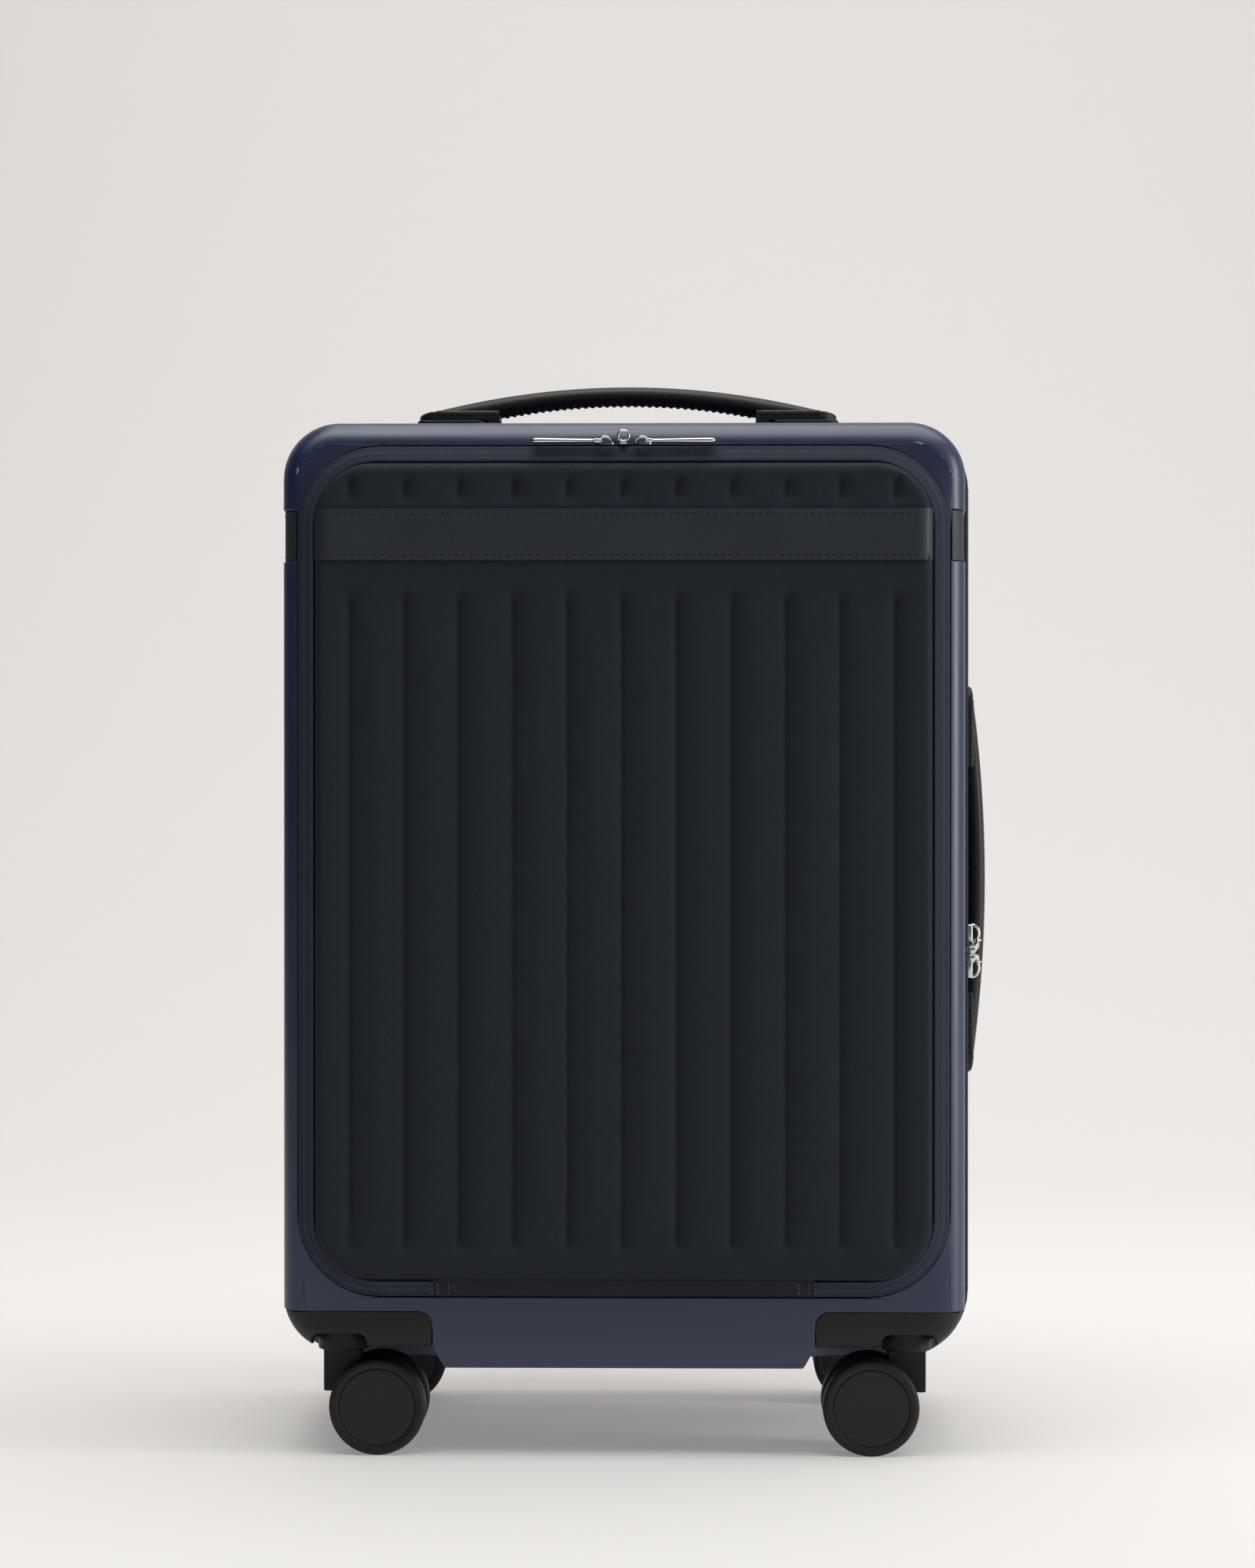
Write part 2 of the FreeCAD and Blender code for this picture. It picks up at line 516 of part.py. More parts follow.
# ---- main zip sliders on the right side ----
def side_slider(word, side):
    face = mm.case_half_width + mm.zip_proud + mm.fit_gap
    plate = block(word + "_side_plate", (0, mm.side_plate_thick),
                  (-mm.side_plate_width * 0.5, mm.side_plate_width * 0.5),
                  (-mm.side_plate * 0.5, mm.side_plate * 0.5))
    plate = rounded(word + "_side_plate_round", plate, 1, lambda edge: edge.Length > 3 and
                    edge.BoundBox.XMin > mm.side_plate_thick.value - 0.01)
    stretch = block(word + "_side_stretch", (mm.side_plate_thick - 0.4, mm.side_bail_reach),
                    (-mm.bail_width * 0.5, mm.bail_width * 0.5), (-mm.bail_outer, mm.bail_outer))
    hole = block(word + "_side_hole", (mm.side_plate_thick, mm.side_bail_reach - mm.bail_wire), (-5, 5),
                 (-(mm.bail_outer - mm.bail_wire), mm.bail_outer - mm.bail_wire))
    slider = fuse(word + "_side_body", plate, cut(word + "_side_bow", stretch, hole))
    height = mm.side_slider_z + mm.side_slider_gap * 0.5 * side
    bind(slider, x=face, z=height)
    keep(f"side_slider_{word}", slider)

    # the pull's eye turns round the outer wire of the bow
    wire_x = mm.side_bail_reach - mm.bail_wire * 0.5
    eye = rod(word + "_eye", 2.6, 2.4, 0, 0, -1.2)
    eye_hole = rod(word + "_eye_hole", 1.35, 10, 0, 0, -5)
    arm = block(word + "_arm", (-1.5, 1.5), (-(mm.pull_length - 2), -1.9), (-1.2, 1.2))
    tip = rod(word + "_arm_tip", 2.2, 2.4, 0, -(mm.pull_length - 2), -1.2)
    pull = cut(word + "_side_pull", fuse(word + "_side_pull_solid", eye, arm, tip), eye_hole)
    pull.Placement.Rotation = FreeCAD.Rotation(Vector(0, 0, 1), -mm.side_pull_tilt.value)
    bind(pull, x=face + wire_x, z=height)
    keep(f"side_pull_{word}", pull)


side_slider("lower", -1)
side_slider("upper", 1)


# ---- handles ----
def arch(name, half_length, top, end, under, foot, base, width):
    """A bowed strap in the XZ plane with flat feet, centred on Y = 0."""
    half_length, top, end, under, foot, base = (
        amount.value for amount in (half_length, top, end, under, foot, base))
    point = {"left": Vector(-half_length, 0, base), "left_up": Vector(-half_length, 0, end),
             "top": Vector(0, 0, top), "right_up": Vector(half_length, 0, end),
             "right": Vector(half_length, 0, base), "foot_right": Vector(foot, 0, base),
             "under": Vector(0, 0, under), "foot_left": Vector(-foot, 0, base)}
    edges = [Part.LineSegment(point["left"], point["left_up"]),
             Part.Arc(point["left_up"], point["top"], point["right_up"]),
             Part.LineSegment(point["right_up"], point["right"]),
             Part.LineSegment(point["right"], point["foot_right"]),
             Part.Arc(point["foot_right"], point["under"], point["foot_left"]),
             Part.LineSegment(point["foot_left"], point["left"])]
    face = Part.Face(Part.Wire([edge.toShape() for edge in edges]))
    face.translate(Vector(0, -width.value / 2, 0))
    solid = face.extrude(Vector(0, width.value, 0))
    long_edges = [edge for edge in solid.Edges if edge.Length > half_length and
                  edge.BoundBox.ZMax > under + 0.5]
    strap = doc.addObject("Part::Feature", name)
    strap.Shape = solid.makeFillet(mm.handle_edge.value, long_edges)
    return strap


top_handle = arch("top_grip", mm.handle_half, mm.handle_rise, mm.handle_end, mm.handle_under,
                  mm.handle_foot, mm.handle_base, mm.handle_width)
top_handle.Placement.Base = Vector(0, mm.handle_y.value, 0)
keep("top_handle", top_handle)
seat_plate = prism("top_plate", "XY_Plane",
                   (mm.plate_centre - mm.plate_half, mm.handle_y - mm.handle_width * 0.5),
                   (mm.plate_centre + mm.plate_half, mm.handle_y + mm.handle_width * 0.5), 6,
                   mm.case_top - 12, mm.handle_base - mm.case_top + 12)
keep("top_handle_plates", both_sides("top_plates", cut("top_plate_seated", seat_plate, rear_outer)))

side_handle = arch("side_grip", mm.side_handle_half, mm.side_handle_out, mm.side_handle_end,
                   mm.side_handle_in, mm.side_handle_foot, mm.side_handle_base, mm.side_handle_width)
side_handle.Placement = FreeCAD.Placement(Vector(0, mm.side_handle_y.value, mm.side_handle_z.value),
                                          FreeCAD.Rotation(Vector(0, 1, 0), 90))
keep("side_handle", side_handle)
side_plates = []
for number, way in enumerate((-1, 1)):
    middle = mm.side_handle_z + way * (mm.plate_centre - 8)
    pad = prism(f"side_plate_{number}", "YZ_Plane",
                (mm.side_handle_y - mm.side_handle_width * 0.5, middle - mm.plate_half + 1),
                (mm.side_handle_y + mm.side_handle_width * 0.5, middle + mm.plate_half - 1), 6,
                mm.case_half_width - 12, mm.side_handle_base - mm.case_half_width + 12)
    side_plates.append(cut(f"side_plate_seated_{number}", pad, rear_outer))
keep("side_handle_plates", group("side_plate_pair", *side_plates))


# ---- trolley ----
def tube(name, wide, deep, wall, corner, low, high):
    """One straight tube of the trolley on the right; its twin is mirrored."""
    def bar(word, inset):
        return prism(name + word, "XY_Plane",
                     (mm.trolley_x - wide * 0.5 + inset, mm.trolley_y - deep * 0.5 + inset),
                     (mm.trolley_x + wide * 0.5 - inset, mm.trolley_y + deep * 0.5 - inset),
                     corner - inset, as_size(low) - (1 if word == "_bore" else 0),
                     as_size(high) - low + (2 if word == "_bore" else 0))
    solid = bar("_bar", 0)
    return solid, cut(name, solid, bar("_bore", wall))


outer_bar, outer_tube = tube("outer_tube", mm.tube_wide, mm.tube_deep, mm.tube_wall, mm.tube_round,
                             mm.tube_low, mm.tub_floor)
shrink = 2 * (mm.tube_wall + mm.tube_gap)
middle_wide, middle_deep = mm.tube_wide - shrink, mm.tube_deep - shrink
middle_bar, middle_tube = tube("middle_tube", middle_wide, middle_deep, mm.tube_wall,
                               mm.tube_round - 0.8, mm.middle_low, mm.grip_low - mm.grip_gap)
inner_wide, inner_deep = middle_wide - shrink, middle_deep - shrink
inner_bar, inner_tube = tube("inner_tube", inner_wide, inner_deep, mm.tube_wall, mm.tube_round - 1.4,
                             mm.inner_low, mm.grip_socket)
keep("trolley_outer_tubes", both_sides("outer_tubes", outer_tube))
keep("trolley_middle_tubes", both_sides("middle_tubes", middle_tube))
keep("trolley_inner_tubes", both_sides("inner_tubes", inner_tube))

foot = prism("tube_foot", "XY_Plane",
             (mm.trolley_x - mm.tube_wide * 0.5 - 3, mm.trolley_y - mm.tube_deep * 0.5 - 3),
             (mm.trolley_x + mm.tube_wide * 0.5 + 3, mm.trolley_y + mm.tube_deep * 0.5 + 3), 4,
             mm.case_bottom, mm.foot_top - mm.case_bottom)
keep("trolley_feet", both_sides("tube_feet", cut("foot_socket", common("foot_seated", foot, rear_hollow),
                                                 outer_bar)))

flange = prism("flange", "XY_Plane", (-mm.flange_half, mm.trolley_y - mm.flange_deep),
               (mm.flange_half, mm.trolley_y + mm.flange_deep), mm.flange_deep - 2, mm.case_top - 14,
               mm.flange_top - mm.case_top + 14)
tub_room = prism("tub_room", "XY_Plane",
                 (-(mm.tub_half - mm.tub_wall), mm.trolley_y - mm.tub_deep + mm.tub_wall),
                 (mm.tub_half - mm.tub_wall, mm.trolley_y + mm.tub_deep - mm.tub_wall),
                 mm.tub_deep - mm.tub_wall - 1, mm.tub_floor + mm.tub_wall, 40)
tube_hole = prism("tube_hole", "XY_Plane",
                  (mm.trolley_x - middle_wide * 0.5 - mm.tube_gap,
                   mm.trolley_y - middle_deep * 0.5 - mm.tube_gap),
                  (mm.trolley_x + middle_wide * 0.5 + mm.tube_gap,
                   mm.trolley_y + middle_deep * 0.5 + mm.tube_gap), mm.tube_round - 0.4,
                  mm.tub_floor - 2, mm.tub_wall + 4)
keep("trolley_bezel", cut("bezel", fuse("bezel_solid", cut("flange_seated", flange, rear_outer), tub_outer),
                          tub_room, tube_hole, mirrored("tube_hole_twin", tube_hole)))

grip_half = mm.tub_half - mm.tub_wall - mm.grip_gap
grip_deep = mm.tub_deep - mm.tub_wall - mm.grip_gap
grip_bar = prism("grip_bar", "XY_Plane", (-grip_half, mm.trolley_y - grip_deep),
                 (grip_half, mm.trolley_y + grip_deep), grip_deep - 0.5, mm.grip_low,
                 mm.grip_top - mm.grip_low)
grip_soft = rounded("grip_rounded", grip_bar, 5, lambda edge: edge.BoundBox.ZMin > mm.grip_top.value - 0.01)
pocket_half = mm.button_half + mm.button_gap
button_well = prism("button_well", "XY_Plane", (-pocket_half, mm.trolley_y - mm.button_deep - mm.button_gap),
                    (pocket_half, mm.trolley_y + mm.button_deep + mm.button_gap), mm.button_deep - 0.5,
                    mm.button_low - mm.button_travel - mm.button_gap, 20)
spring_well = rod("spring_well", mm.spring_radius + 0.8, 15, 0, mm.trolley_y, mm.spring_low)
keep("trolley_grip", cut("grip", grip_soft, button_well, spring_well, inner_bar,
                         mirrored("inner_bar_twin", inner_bar)))
button = prism("button_bar", "XY_Plane", (-mm.button_half, mm.trolley_y - mm.button_deep),
               (mm.button_half, mm.trolley_y + mm.button_deep), mm.button_deep - 0.5, mm.button_low,
               mm.button_top - mm.button_low)
keep("release_button", rounded("button_rounded", button, 1.2,
                               lambda edge: edge.BoundBox.ZMin > mm.button_top.value - 0.01))

spring_height = mm.button_low.value - mm.spring_low.value - 2 * mm.spring_wire.value
helix = Part.makeHelix(spring_height / mm.spring_turns.value, spring_height, mm.spring_radius.value)
wire_end = Part.Wire(Part.makeCircle(mm.spring_wire.value, Vector(mm.spring_radius.value, 0, 0),
                                     Vector(0, 1, 0)))
spring = doc.addObject("Part::Feature", "button_coil")
spring.Shape = Part.Wire(helix.Edges).makePipeShell([wire_end], True, True)
spring.Placement.Base = Vector(0, mm.trolley_y.value, mm.spring_low.value + mm.spring_wire.value)
keep("button_spring", spring)

# ---- inside: lining over the tubes, divider, straps and buckle ----
draft_rate = Size(math.tan(math.radians(mm.draft.value)), "tan(Sizes.draft)")


def inner_inset(depth):
    """How far a sheet's edge lies inside the zip outline to clear the shell at this depth."""
    return mm.shell_wall + mm.fit_gap + draft_rate * (depth - mm.zip_half)


lining_inset = inner_inset(mm.lining_y + mm.lining)
keep("rear_lining", prism("rear_sheet", "XZ_Plane",
                          (-(mm.case_half_width - lining_inset), mm.well_roof + mm.shell_wall + mm.fit_gap),
                          (mm.case_half_width - lining_inset, mm.case_top - lining_inset),
                          mm.corner_round - mm.shell_wall, mm.lining_y, mm.lining, backwards=True))
divider_inset = inner_inset(mm.divider_y + mm.divider_thick)
keep("divider_panel", prism("divider", "XZ_Plane",
                            (-(mm.case_half_width - divider_inset), mm.case_bottom + divider_inset),
                            (mm.case_half_width - divider_inset, mm.case_top - divider_inset),
                            mm.corner_round - mm.shell_wall, -mm.divider_y, mm.divider_thick))
strap = block("strap_right",
              (mm.buckle_half - 4, mm.case_half_width - inner_inset(mm.strap_y + mm.strap_thick)),
              (mm.strap_y, mm.strap_y + mm.strap_thick),
              (mm.strap_z - mm.strap_width * 0.5, mm.strap_z + mm.strap_width * 0.5))
buckle = prism("buckle", "XZ_Plane", (-mm.buckle_half, mm.strap_z - mm.buckle_height * 0.5),
               (mm.buckle_half, mm.strap_z + mm.buckle_height * 0.5), 5,
               mm.strap_y + mm.strap_thick * 0.5 - mm.buckle_thick * 0.5, mm.buckle_thick, backwards=True)
keep("compression_straps", both_sides("straps", strap))
keep("strap_buckle", cut("buckle_slotted", buckle, strap, mirrored("strap_twin", strap)))


# ---- casters: each is built with its swivel axis at the origin, trailing towards +X ----
def caster(word, side_x, side_y):
    collar_top = mm.well_roof - mm.bracket_plate - mm.fit_gap
    collar = rod(word + "_collar", mm.collar_radius, collar_top - mm.collar_low, z=mm.collar_low)
    thick = (-mm.neck_thick * 0.5, mm.neck_thick * 0.5)
    neck = block(word + "_neck", (-mm.neck_half, mm.neck_half), thick, (mm.neck_low, mm.collar_low))
    arm = block(word + "_arm_web", (-2, mm.wheel_trail), thick,
                (mm.wheel_radius - mm.boss_radius, mm.neck_low + 14))
    boss = rod(word + "_boss", mm.boss_radius, mm.neck_thick, mm.wheel_trail, -mm.neck_thick * 0.5,
               mm.wheel_radius, "Y")
    axle_hole = rod(word + "_axle_hole", mm.axle_radius + mm.running_gap, 40, mm.wheel_trail, -20,
                    mm.wheel_radius, "Y")
    pin_hole = rod(word + "_swivel_hole", mm.pin_radius + mm.running_gap, 60, z=mm.pin_low - mm.fit_gap)
    fork = cut(word + "_fork", fuse(word + "_fork_solid", collar, neck, arm, boss), axle_hole, pin_hole)

    inner = mm.neck_thick * 0.5 + mm.wheel_gap
    rim = mm.wheel_radius - mm.tyre_depth
    tyres, hubs = [], []
    for number, start in enumerate((inner, -(inner + mm.wheel_width))):
        tread = rod(f"{word}_tread_{number}", mm.wheel_radius, mm.wheel_width, mm.wheel_trail, start,
                    mm.wheel_radius, "Y")
        soft = rounded(f"{word}_tread_round_{number}", tread, 2.2, lambda edge: edge.Length > 100)
        seat_hole = rod(f"{word}_seat_{number}", rim, mm.wheel_width + 2, mm.wheel_trail, start - 1,
                        mm.wheel_radius, "Y")
        tyres.append(cut(f"{word}_tyre_{number}", soft, seat_hole))
        hubs.append(rod(f"{word}_hub_{number}", rim, mm.wheel_width, mm.wheel_trail, start,
                        mm.wheel_radius, "Y"))
    axle = rod(word + "_axle", mm.axle_radius, 2 * (inner + 1), mm.wheel_trail, -(inner + 1),
               mm.wheel_radius, "Y")
    pieces = {f"caster_{word}_fork": fork, f"caster_{word}_tyres": group(word + "_tyres", *tyres),
              f"caster_{word}_hubs": fuse(word + "_hubs", axle, *hubs)}
    for node, piece in pieces.items():
        if side_x > 0:
            piece.Placement.Rotation = FreeCAD.Rotation(Vector(0, 0, 1), 180)
        bind(piece, x=mm.swivel_x * side_x, y=mm.swivel_y * side_y)
        keep(node, piece)


caster("front_left", -1, -1)
caster("front_right", 1, -1)
caster("rear_left", -1, 1)
caster("rear_right", 1, 1)

# ---- check every object, then write one STEP file per node ----
doc.recompute()
for item in doc.Objects:
    if "Invalid" in item.State or "Error" in item.State:
        raise RuntimeError(f"{item.Name} failed: {item.State}")
for node, item in nodes.items():
    if item.Shape.isNull() or not item.Shape.isValid() or not item.Shape.Solids:
        raise RuntimeError(f"{node} has no valid shape")

os.makedirs("parts", exist_ok=True)
for node, item in nodes.items():
    item.Shape.exportStep(os.path.join("parts", node + ".step"))
print(f"{len(nodes)} nodes written")
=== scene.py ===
import math
import random

import bmesh
import bpy
from mathutils import Matrix, Vector


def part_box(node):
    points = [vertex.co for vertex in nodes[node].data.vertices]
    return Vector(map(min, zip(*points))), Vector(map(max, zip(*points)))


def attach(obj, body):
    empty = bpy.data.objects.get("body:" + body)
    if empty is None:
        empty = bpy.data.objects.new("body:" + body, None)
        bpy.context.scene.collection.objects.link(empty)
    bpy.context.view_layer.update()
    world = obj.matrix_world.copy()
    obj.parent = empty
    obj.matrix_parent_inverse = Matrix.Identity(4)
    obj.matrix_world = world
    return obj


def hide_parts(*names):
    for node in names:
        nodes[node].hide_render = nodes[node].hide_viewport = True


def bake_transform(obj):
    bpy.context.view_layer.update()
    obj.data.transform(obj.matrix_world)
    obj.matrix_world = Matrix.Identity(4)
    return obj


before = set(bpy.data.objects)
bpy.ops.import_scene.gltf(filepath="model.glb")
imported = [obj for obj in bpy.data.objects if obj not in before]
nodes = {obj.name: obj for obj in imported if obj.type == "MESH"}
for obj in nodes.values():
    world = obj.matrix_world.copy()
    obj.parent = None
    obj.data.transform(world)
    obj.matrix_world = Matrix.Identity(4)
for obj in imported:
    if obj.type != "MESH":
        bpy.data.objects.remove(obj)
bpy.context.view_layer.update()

mm = 0.001
random.seed(7)
print("frame loaded:", len(nodes), "nodes")


class Value:
    # a socket that adds Math nodes when it is used in sums
    def __init__(self, finish, socket):
        self.finish = finish
        self.socket = socket

    def math(self, operation, *others):
        values = dict(enumerate((self,) + others))
        return self.finish.node("ShaderNodeMath", {"operation": operation}, values)

    def flipped(self, operation, other):
        return self.finish.node("ShaderNodeMath", {"operation": operation}, {0: other, 1: self})

    def __add__(self, other): return self.math("ADD", other)
    def __radd__(self, other): return self.math("ADD", other)
    def __sub__(self, other): return self.math("SUBTRACT", other)
    def __rsub__(self, other): return self.flipped("SUBTRACT", other)
    def __mul__(self, other): return self.math("MULTIPLY", other)
    def __rmul__(self, other): return self.math("MULTIPLY", other)
    def __truediv__(self, other): return self.math("DIVIDE", other)
    def __rtruediv__(self, other): return self.flipped("DIVIDE", other)


class Finish:
    # one material, with its Principled shader and a single way to add any node
    def __init__(self, name, color, roughness, **sockets):
        self.material = bpy.data.materials.new(name)
        self.material.use_nodes = True
        self.tree = self.material.node_tree
        self.shader = self.tree.nodes["Principled BSDF"]
        self.shader.inputs["Base Color"].default_value = (*color, 1)
        self.shader.inputs["Roughness"].default_value = roughness
        for socketName, amount in sockets.items():
            self.shader.inputs[socketName.replace("_", " ")].default_value = amount

    def node(self, kind, settings=None, values=None, output=0):
        item = self.tree.nodes.new(kind)
        for key, setting in (settings or {}).items():
            if key == "stops":
                for index, (place, tone) in enumerate(setting):
                    stop = item.color_ramp.elements[index] if index < 2 else item.color_ramp.elements.new(place)
                    stop.position = place
                    stop.color = (*tone, 1)
            else:
                setattr(item, key, setting)
        for key, value in (values or {}).items():
            if isinstance(value, Value):
                self.tree.links.new(value.socket, item.inputs[key])
            else:
                item.inputs[key].default_value = value
        return Value(self, item.outputs[output])

    def feed(self, socketName, value):
        self.tree.links.new(value.socket, self.shader.inputs[socketName])

    def place(self, turn=(0, 0, 0)):
        # object coordinates in millimetres
        spot = self.node("ShaderNodeTexCoord", output="Object")
        return self.node("ShaderNodeMapping", values={"Vector": spot, "Scale": (1000, 1000, 1000), "Rotation": turn})

    def clothPlace(self):
        # the piece's own map, in millimetres along and across
        spot = self.node("ShaderNodeUVMap", {"uv_map": "weave"})
        return self.node("ShaderNodeMapping", values={"Vector": spot, "Scale": (1000, 1000, 1000)})

    def axis(self, vector, name):
        return self.node("ShaderNodeSeparateXYZ", values={"Vector": vector}, output=name)

    def noise(self, vector, scale, detail=3.0, roughness=0.5):
        return self.node("ShaderNodeTexNoise", values={"Vector": vector, "Scale": scale, "Detail": detail,
                                                       "Roughness": roughness})

    def stripe(self, amount, pitch):
        # 0 to 1 to 0 once every pitch
        return (amount * (2 * math.pi / pitch)).math("SINE") * 0.5 + 0.5

    def mix(self, factor, first, second):
        return self.node("ShaderNodeMix", {"data_type": "RGBA"}, {0: factor, 6: (*first, 1), 7: (*second, 1)}, 2)

    def bump(self, height, strength, distance):
        return self.node("ShaderNodeBump", values={"Height": height, "Strength": strength, "Distance": distance})


def moulded(name, color, roughness, grain, depth, **sockets):
    # plastic with a fine moulded grain and slightly uneven gloss
    finish = Finish(name, color, roughness, **sockets)
    spot = finish.place()
    fine = finish.noise(spot, grain, 4)
    patch = finish.noise(spot, 0.02, 2)
    finish.feed("Roughness", patch * 0.12 + fine * 0.06 + (roughness - 0.09))
    finish.feed("Base Color", finish.mix(patch, [c * 0.86 for c in color], [c * 1.14 for c in color]))
    finish.feed("Normal", finish.bump(fine, 0.35, depth))
    return finish.material


def leatherFinish(name, color, roughness, grain=0.9):
    finish = Finish(name, color, roughness, Specular_IOR_Level=0.4)
    spot = finish.place()
    cells = finish.node("ShaderNodeTexVoronoi", {"feature": "DISTANCE_TO_EDGE"}, {"Vector": spot, "Scale": grain})
    pores = finish.noise(spot, grain * 2.4, 4)
    crease = cells.math("MULTIPLY", 2.2).math("MINIMUM", 1)
    wear = finish.noise(spot, 0.03, 3)
    finish.feed("Base Color", finish.mix(wear * 0.7 + crease * 0.3, [c * 0.75 for c in color],
                                         [c * 1.3 for c in color]))
    finish.feed("Roughness", wear * 0.16 + pores * 0.08 + (roughness - 0.12))
    finish.feed("Normal", finish.bump(crease * 0.7 + pores * 0.4, 0.5, 0.00018))
    return finish.material


def twillFinish(name, dark, light, roughness, pitch=0.8):
    # steep twill lines crossed by a finer thread
    finish = Finish(name, dark, roughness, Specular_IOR_Level=0.2)
    spot = finish.place()
    across, up = finish.axis(spot, "X"), finish.axis(spot, "Z")
    rib = finish.stripe(across * 0.87 + up * 0.5, pitch)
    thread = finish.stripe(up, 0.42)
    cloudy = finish.noise(spot, 0.05, 3)
    weave = rib * 0.8 + thread * 0.2
    finish.feed("Base Color", finish.mix(weave * 0.85 + cloudy * 0.15, dark, light))
    finish.feed("Roughness", rib * -0.12 + (roughness + 0.04))
    finish.feed("Normal", finish.bump(weave, 0.6, 0.00025))
    return finish.material


def herringboneFinish(name, dark, light, roughness, pitch=0.8, row=1.6):
    finish = Finish(name, dark, roughness, Specular_IOR_Level=0.2)
    spot = finish.clothPlace()
    along, across = finish.axis(spot, "X"), finish.axis(spot, "Y")
    chevron = finish.stripe(along + across.math("PINGPONG", row), pitch)
    furrow = finish.stripe(across, row)
    weave = chevron * 0.75 + furrow * 0.25
    finish.feed("Base Color", finish.mix(weave, dark, light))
    finish.feed("Normal", finish.bump(weave, 0.6, 0.0003))
    return finish.material


def clothFinish(name, dark, light, roughness, pitch=0.6):
    # plain weave for linings, read from the object's place
    finish = Finish(name, dark, roughness, Specular_IOR_Level=0.2)
    spot = finish.place()
    across, up = finish.axis(spot, "X"), finish.axis(spot, "Z")
    depth = finish.axis(spot, "Y")
    warp = finish.stripe(across + depth, pitch)
    weft = finish.stripe(up, pitch)
    weave = (warp * weft) * 0.8 + finish.noise(spot, 0.04, 3) * 0.2
    finish.feed("Base Color", finish.mix(weave, dark, light))
    finish.feed("Normal", finish.bump(weave, 0.4, 0.0002))
    return finish.material


def metalFinish(name, color, roughness, brushed=0.0):
    finish = Finish(name, color, roughness, Metallic=1.0)
    spot = finish.place()
    haze = finish.noise(spot, 0.15, 3)
    streak = finish.noise(finish.node("ShaderNodeMapping", values={"Vector": spot, "Scale": (1, 1, 0.02)}), 3, 3)
    finish.feed("Roughness", haze * 0.08 + streak * brushed + (roughness - 0.04))
    return finish.material


shellNavy = moulded("shell navy satin", (0.0155, 0.0245, 0.065), 0.36, 1.5, 0.00006, Specular_IOR_Level=0.62)
blackPlastic = moulded("black moulded plastic", (0.010, 0.010, 0.010), 0.48, 1.2, 0.00005, Specular_IOR_Level=0.3)
wheelRubber = moulded("wheel tread", (0.014, 0.014, 0.014), 0.6, 0.8, 0.00008, Specular_IOR_Level=0.3)
hubPlastic = moulded("hub disc", (0.016, 0.016, 0.016), 0.5, 1.0, 0.00005, Specular_IOR_Level=0.3)
handleLeather = leatherFinish("handle leather", (0.007, 0.0085, 0.0105), 0.5)
bandLeather = leatherFinish("band leather", (0.019, 0.025, 0.031), 0.5)
flapTwill = twillFinish("flap twill", (0.0012, 0.0018, 0.004), (0.026, 0.034, 0.050), 0.75, 1.05)
gussetTape = herringboneFinish("gusset herringbone", (0.003, 0.0045, 0.009), (0.042, 0.054, 0.088), 0.62, 1.0, 2.0)
zipTape = herringboneFinish("zip tape", (0.010, 0.012, 0.019), (0.036, 0.041, 0.056), 0.75, 1.0, 1.2)
webbingFinish = herringboneFinish("strap webbing", (0.012, 0.014, 0.022), (0.040, 0.045, 0.062), 0.7, 1.4, 2.0)
liningCloth = clothFinish("lining cloth", (0.016, 0.022, 0.038), (0.034, 0.044, 0.072), 0.7)
darkCloth = clothFinish("dark lining", (0.008, 0.010, 0.014), (0.020, 0.024, 0.032), 0.8)
chrome = metalFinish("polished chrome", (0.66, 0.66, 0.68), 0.14)
tubeAluminium = metalFinish("anodised tube", (0.50, 0.51, 0.54), 0.3, 0.12)
plainSteel = metalFinish("zinc steel", (0.45, 0.45, 0.46), 0.35, 0.1)
darkThread = clothFinish("dark waxed thread", (0.002, 0.0022, 0.0026), (0.009, 0.010, 0.012), 0.5, 0.3)
paleThread = clothFinish("pale tack thread", (0.06, 0.068, 0.085), (0.16, 0.175, 0.21), 0.6, 0.3)
coilPlastic = moulded("zip coil", (0.012, 0.013, 0.017), 0.35, 2.0, 0.00003)
print("materials made")

nodeFinish = {
    "front_shell": shellNavy, "rear_shell": shellNavy, "laptop_sleeve": darkCloth, "pocket_lining": liningCloth,
    "rear_lining": liningCloth, "divider_panel": liningCloth, "flap_board": liningCloth,
    "compression_straps": webbingFinish, "pocket_zip_chain": coilPlastic, "lock_ring": chrome,
    "front_bands": bandLeather, "rear_band": bandLeather, "button_spring": plainSteel,
}
for name, item in nodes.items():
    if name in nodeFinish:
        chosen = nodeFinish[name]
    elif name.endswith("tyres"):
        chosen = wheelRubber
    elif name.endswith("hubs"):
        chosen = hubPlastic
    elif "tubes" in name:
        chosen = tubeAluminium
    elif name.endswith(("pins", "screws")):
        chosen = plainSteel
    elif name.startswith(("top_slider", "top_pull", "side_slider", "side_pull")):
        chosen = chrome
    else:
        chosen = blackPlastic
    for materialSlot in item.material_slots:
        materialSlot.material = chosen


def makePiece(bm, name, material, body, smooth=True, replaces=(), keepAngle=35):
    mesh = bpy.data.meshes.new(name)
    bmesh.ops.recalc_face_normals(bm, faces=bm.faces)
    for face in bm.faces:
        face.smooth = smooth
    for edge in bm.edges:
        if len(edge.link_faces) == 2 and edge.calc_face_angle(0) > math.radians(keepAngle):
            edge.smooth = False
    bm.to_mesh(mesh)
    bm.free()
    piece = bpy.data.objects.new(name, mesh)
    bpy.context.scene.collection.objects.link(piece)
    mesh.materials.append(material)
    if body:
        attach(piece, body)
    if replaces:
        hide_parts(*replaces)
    return piece


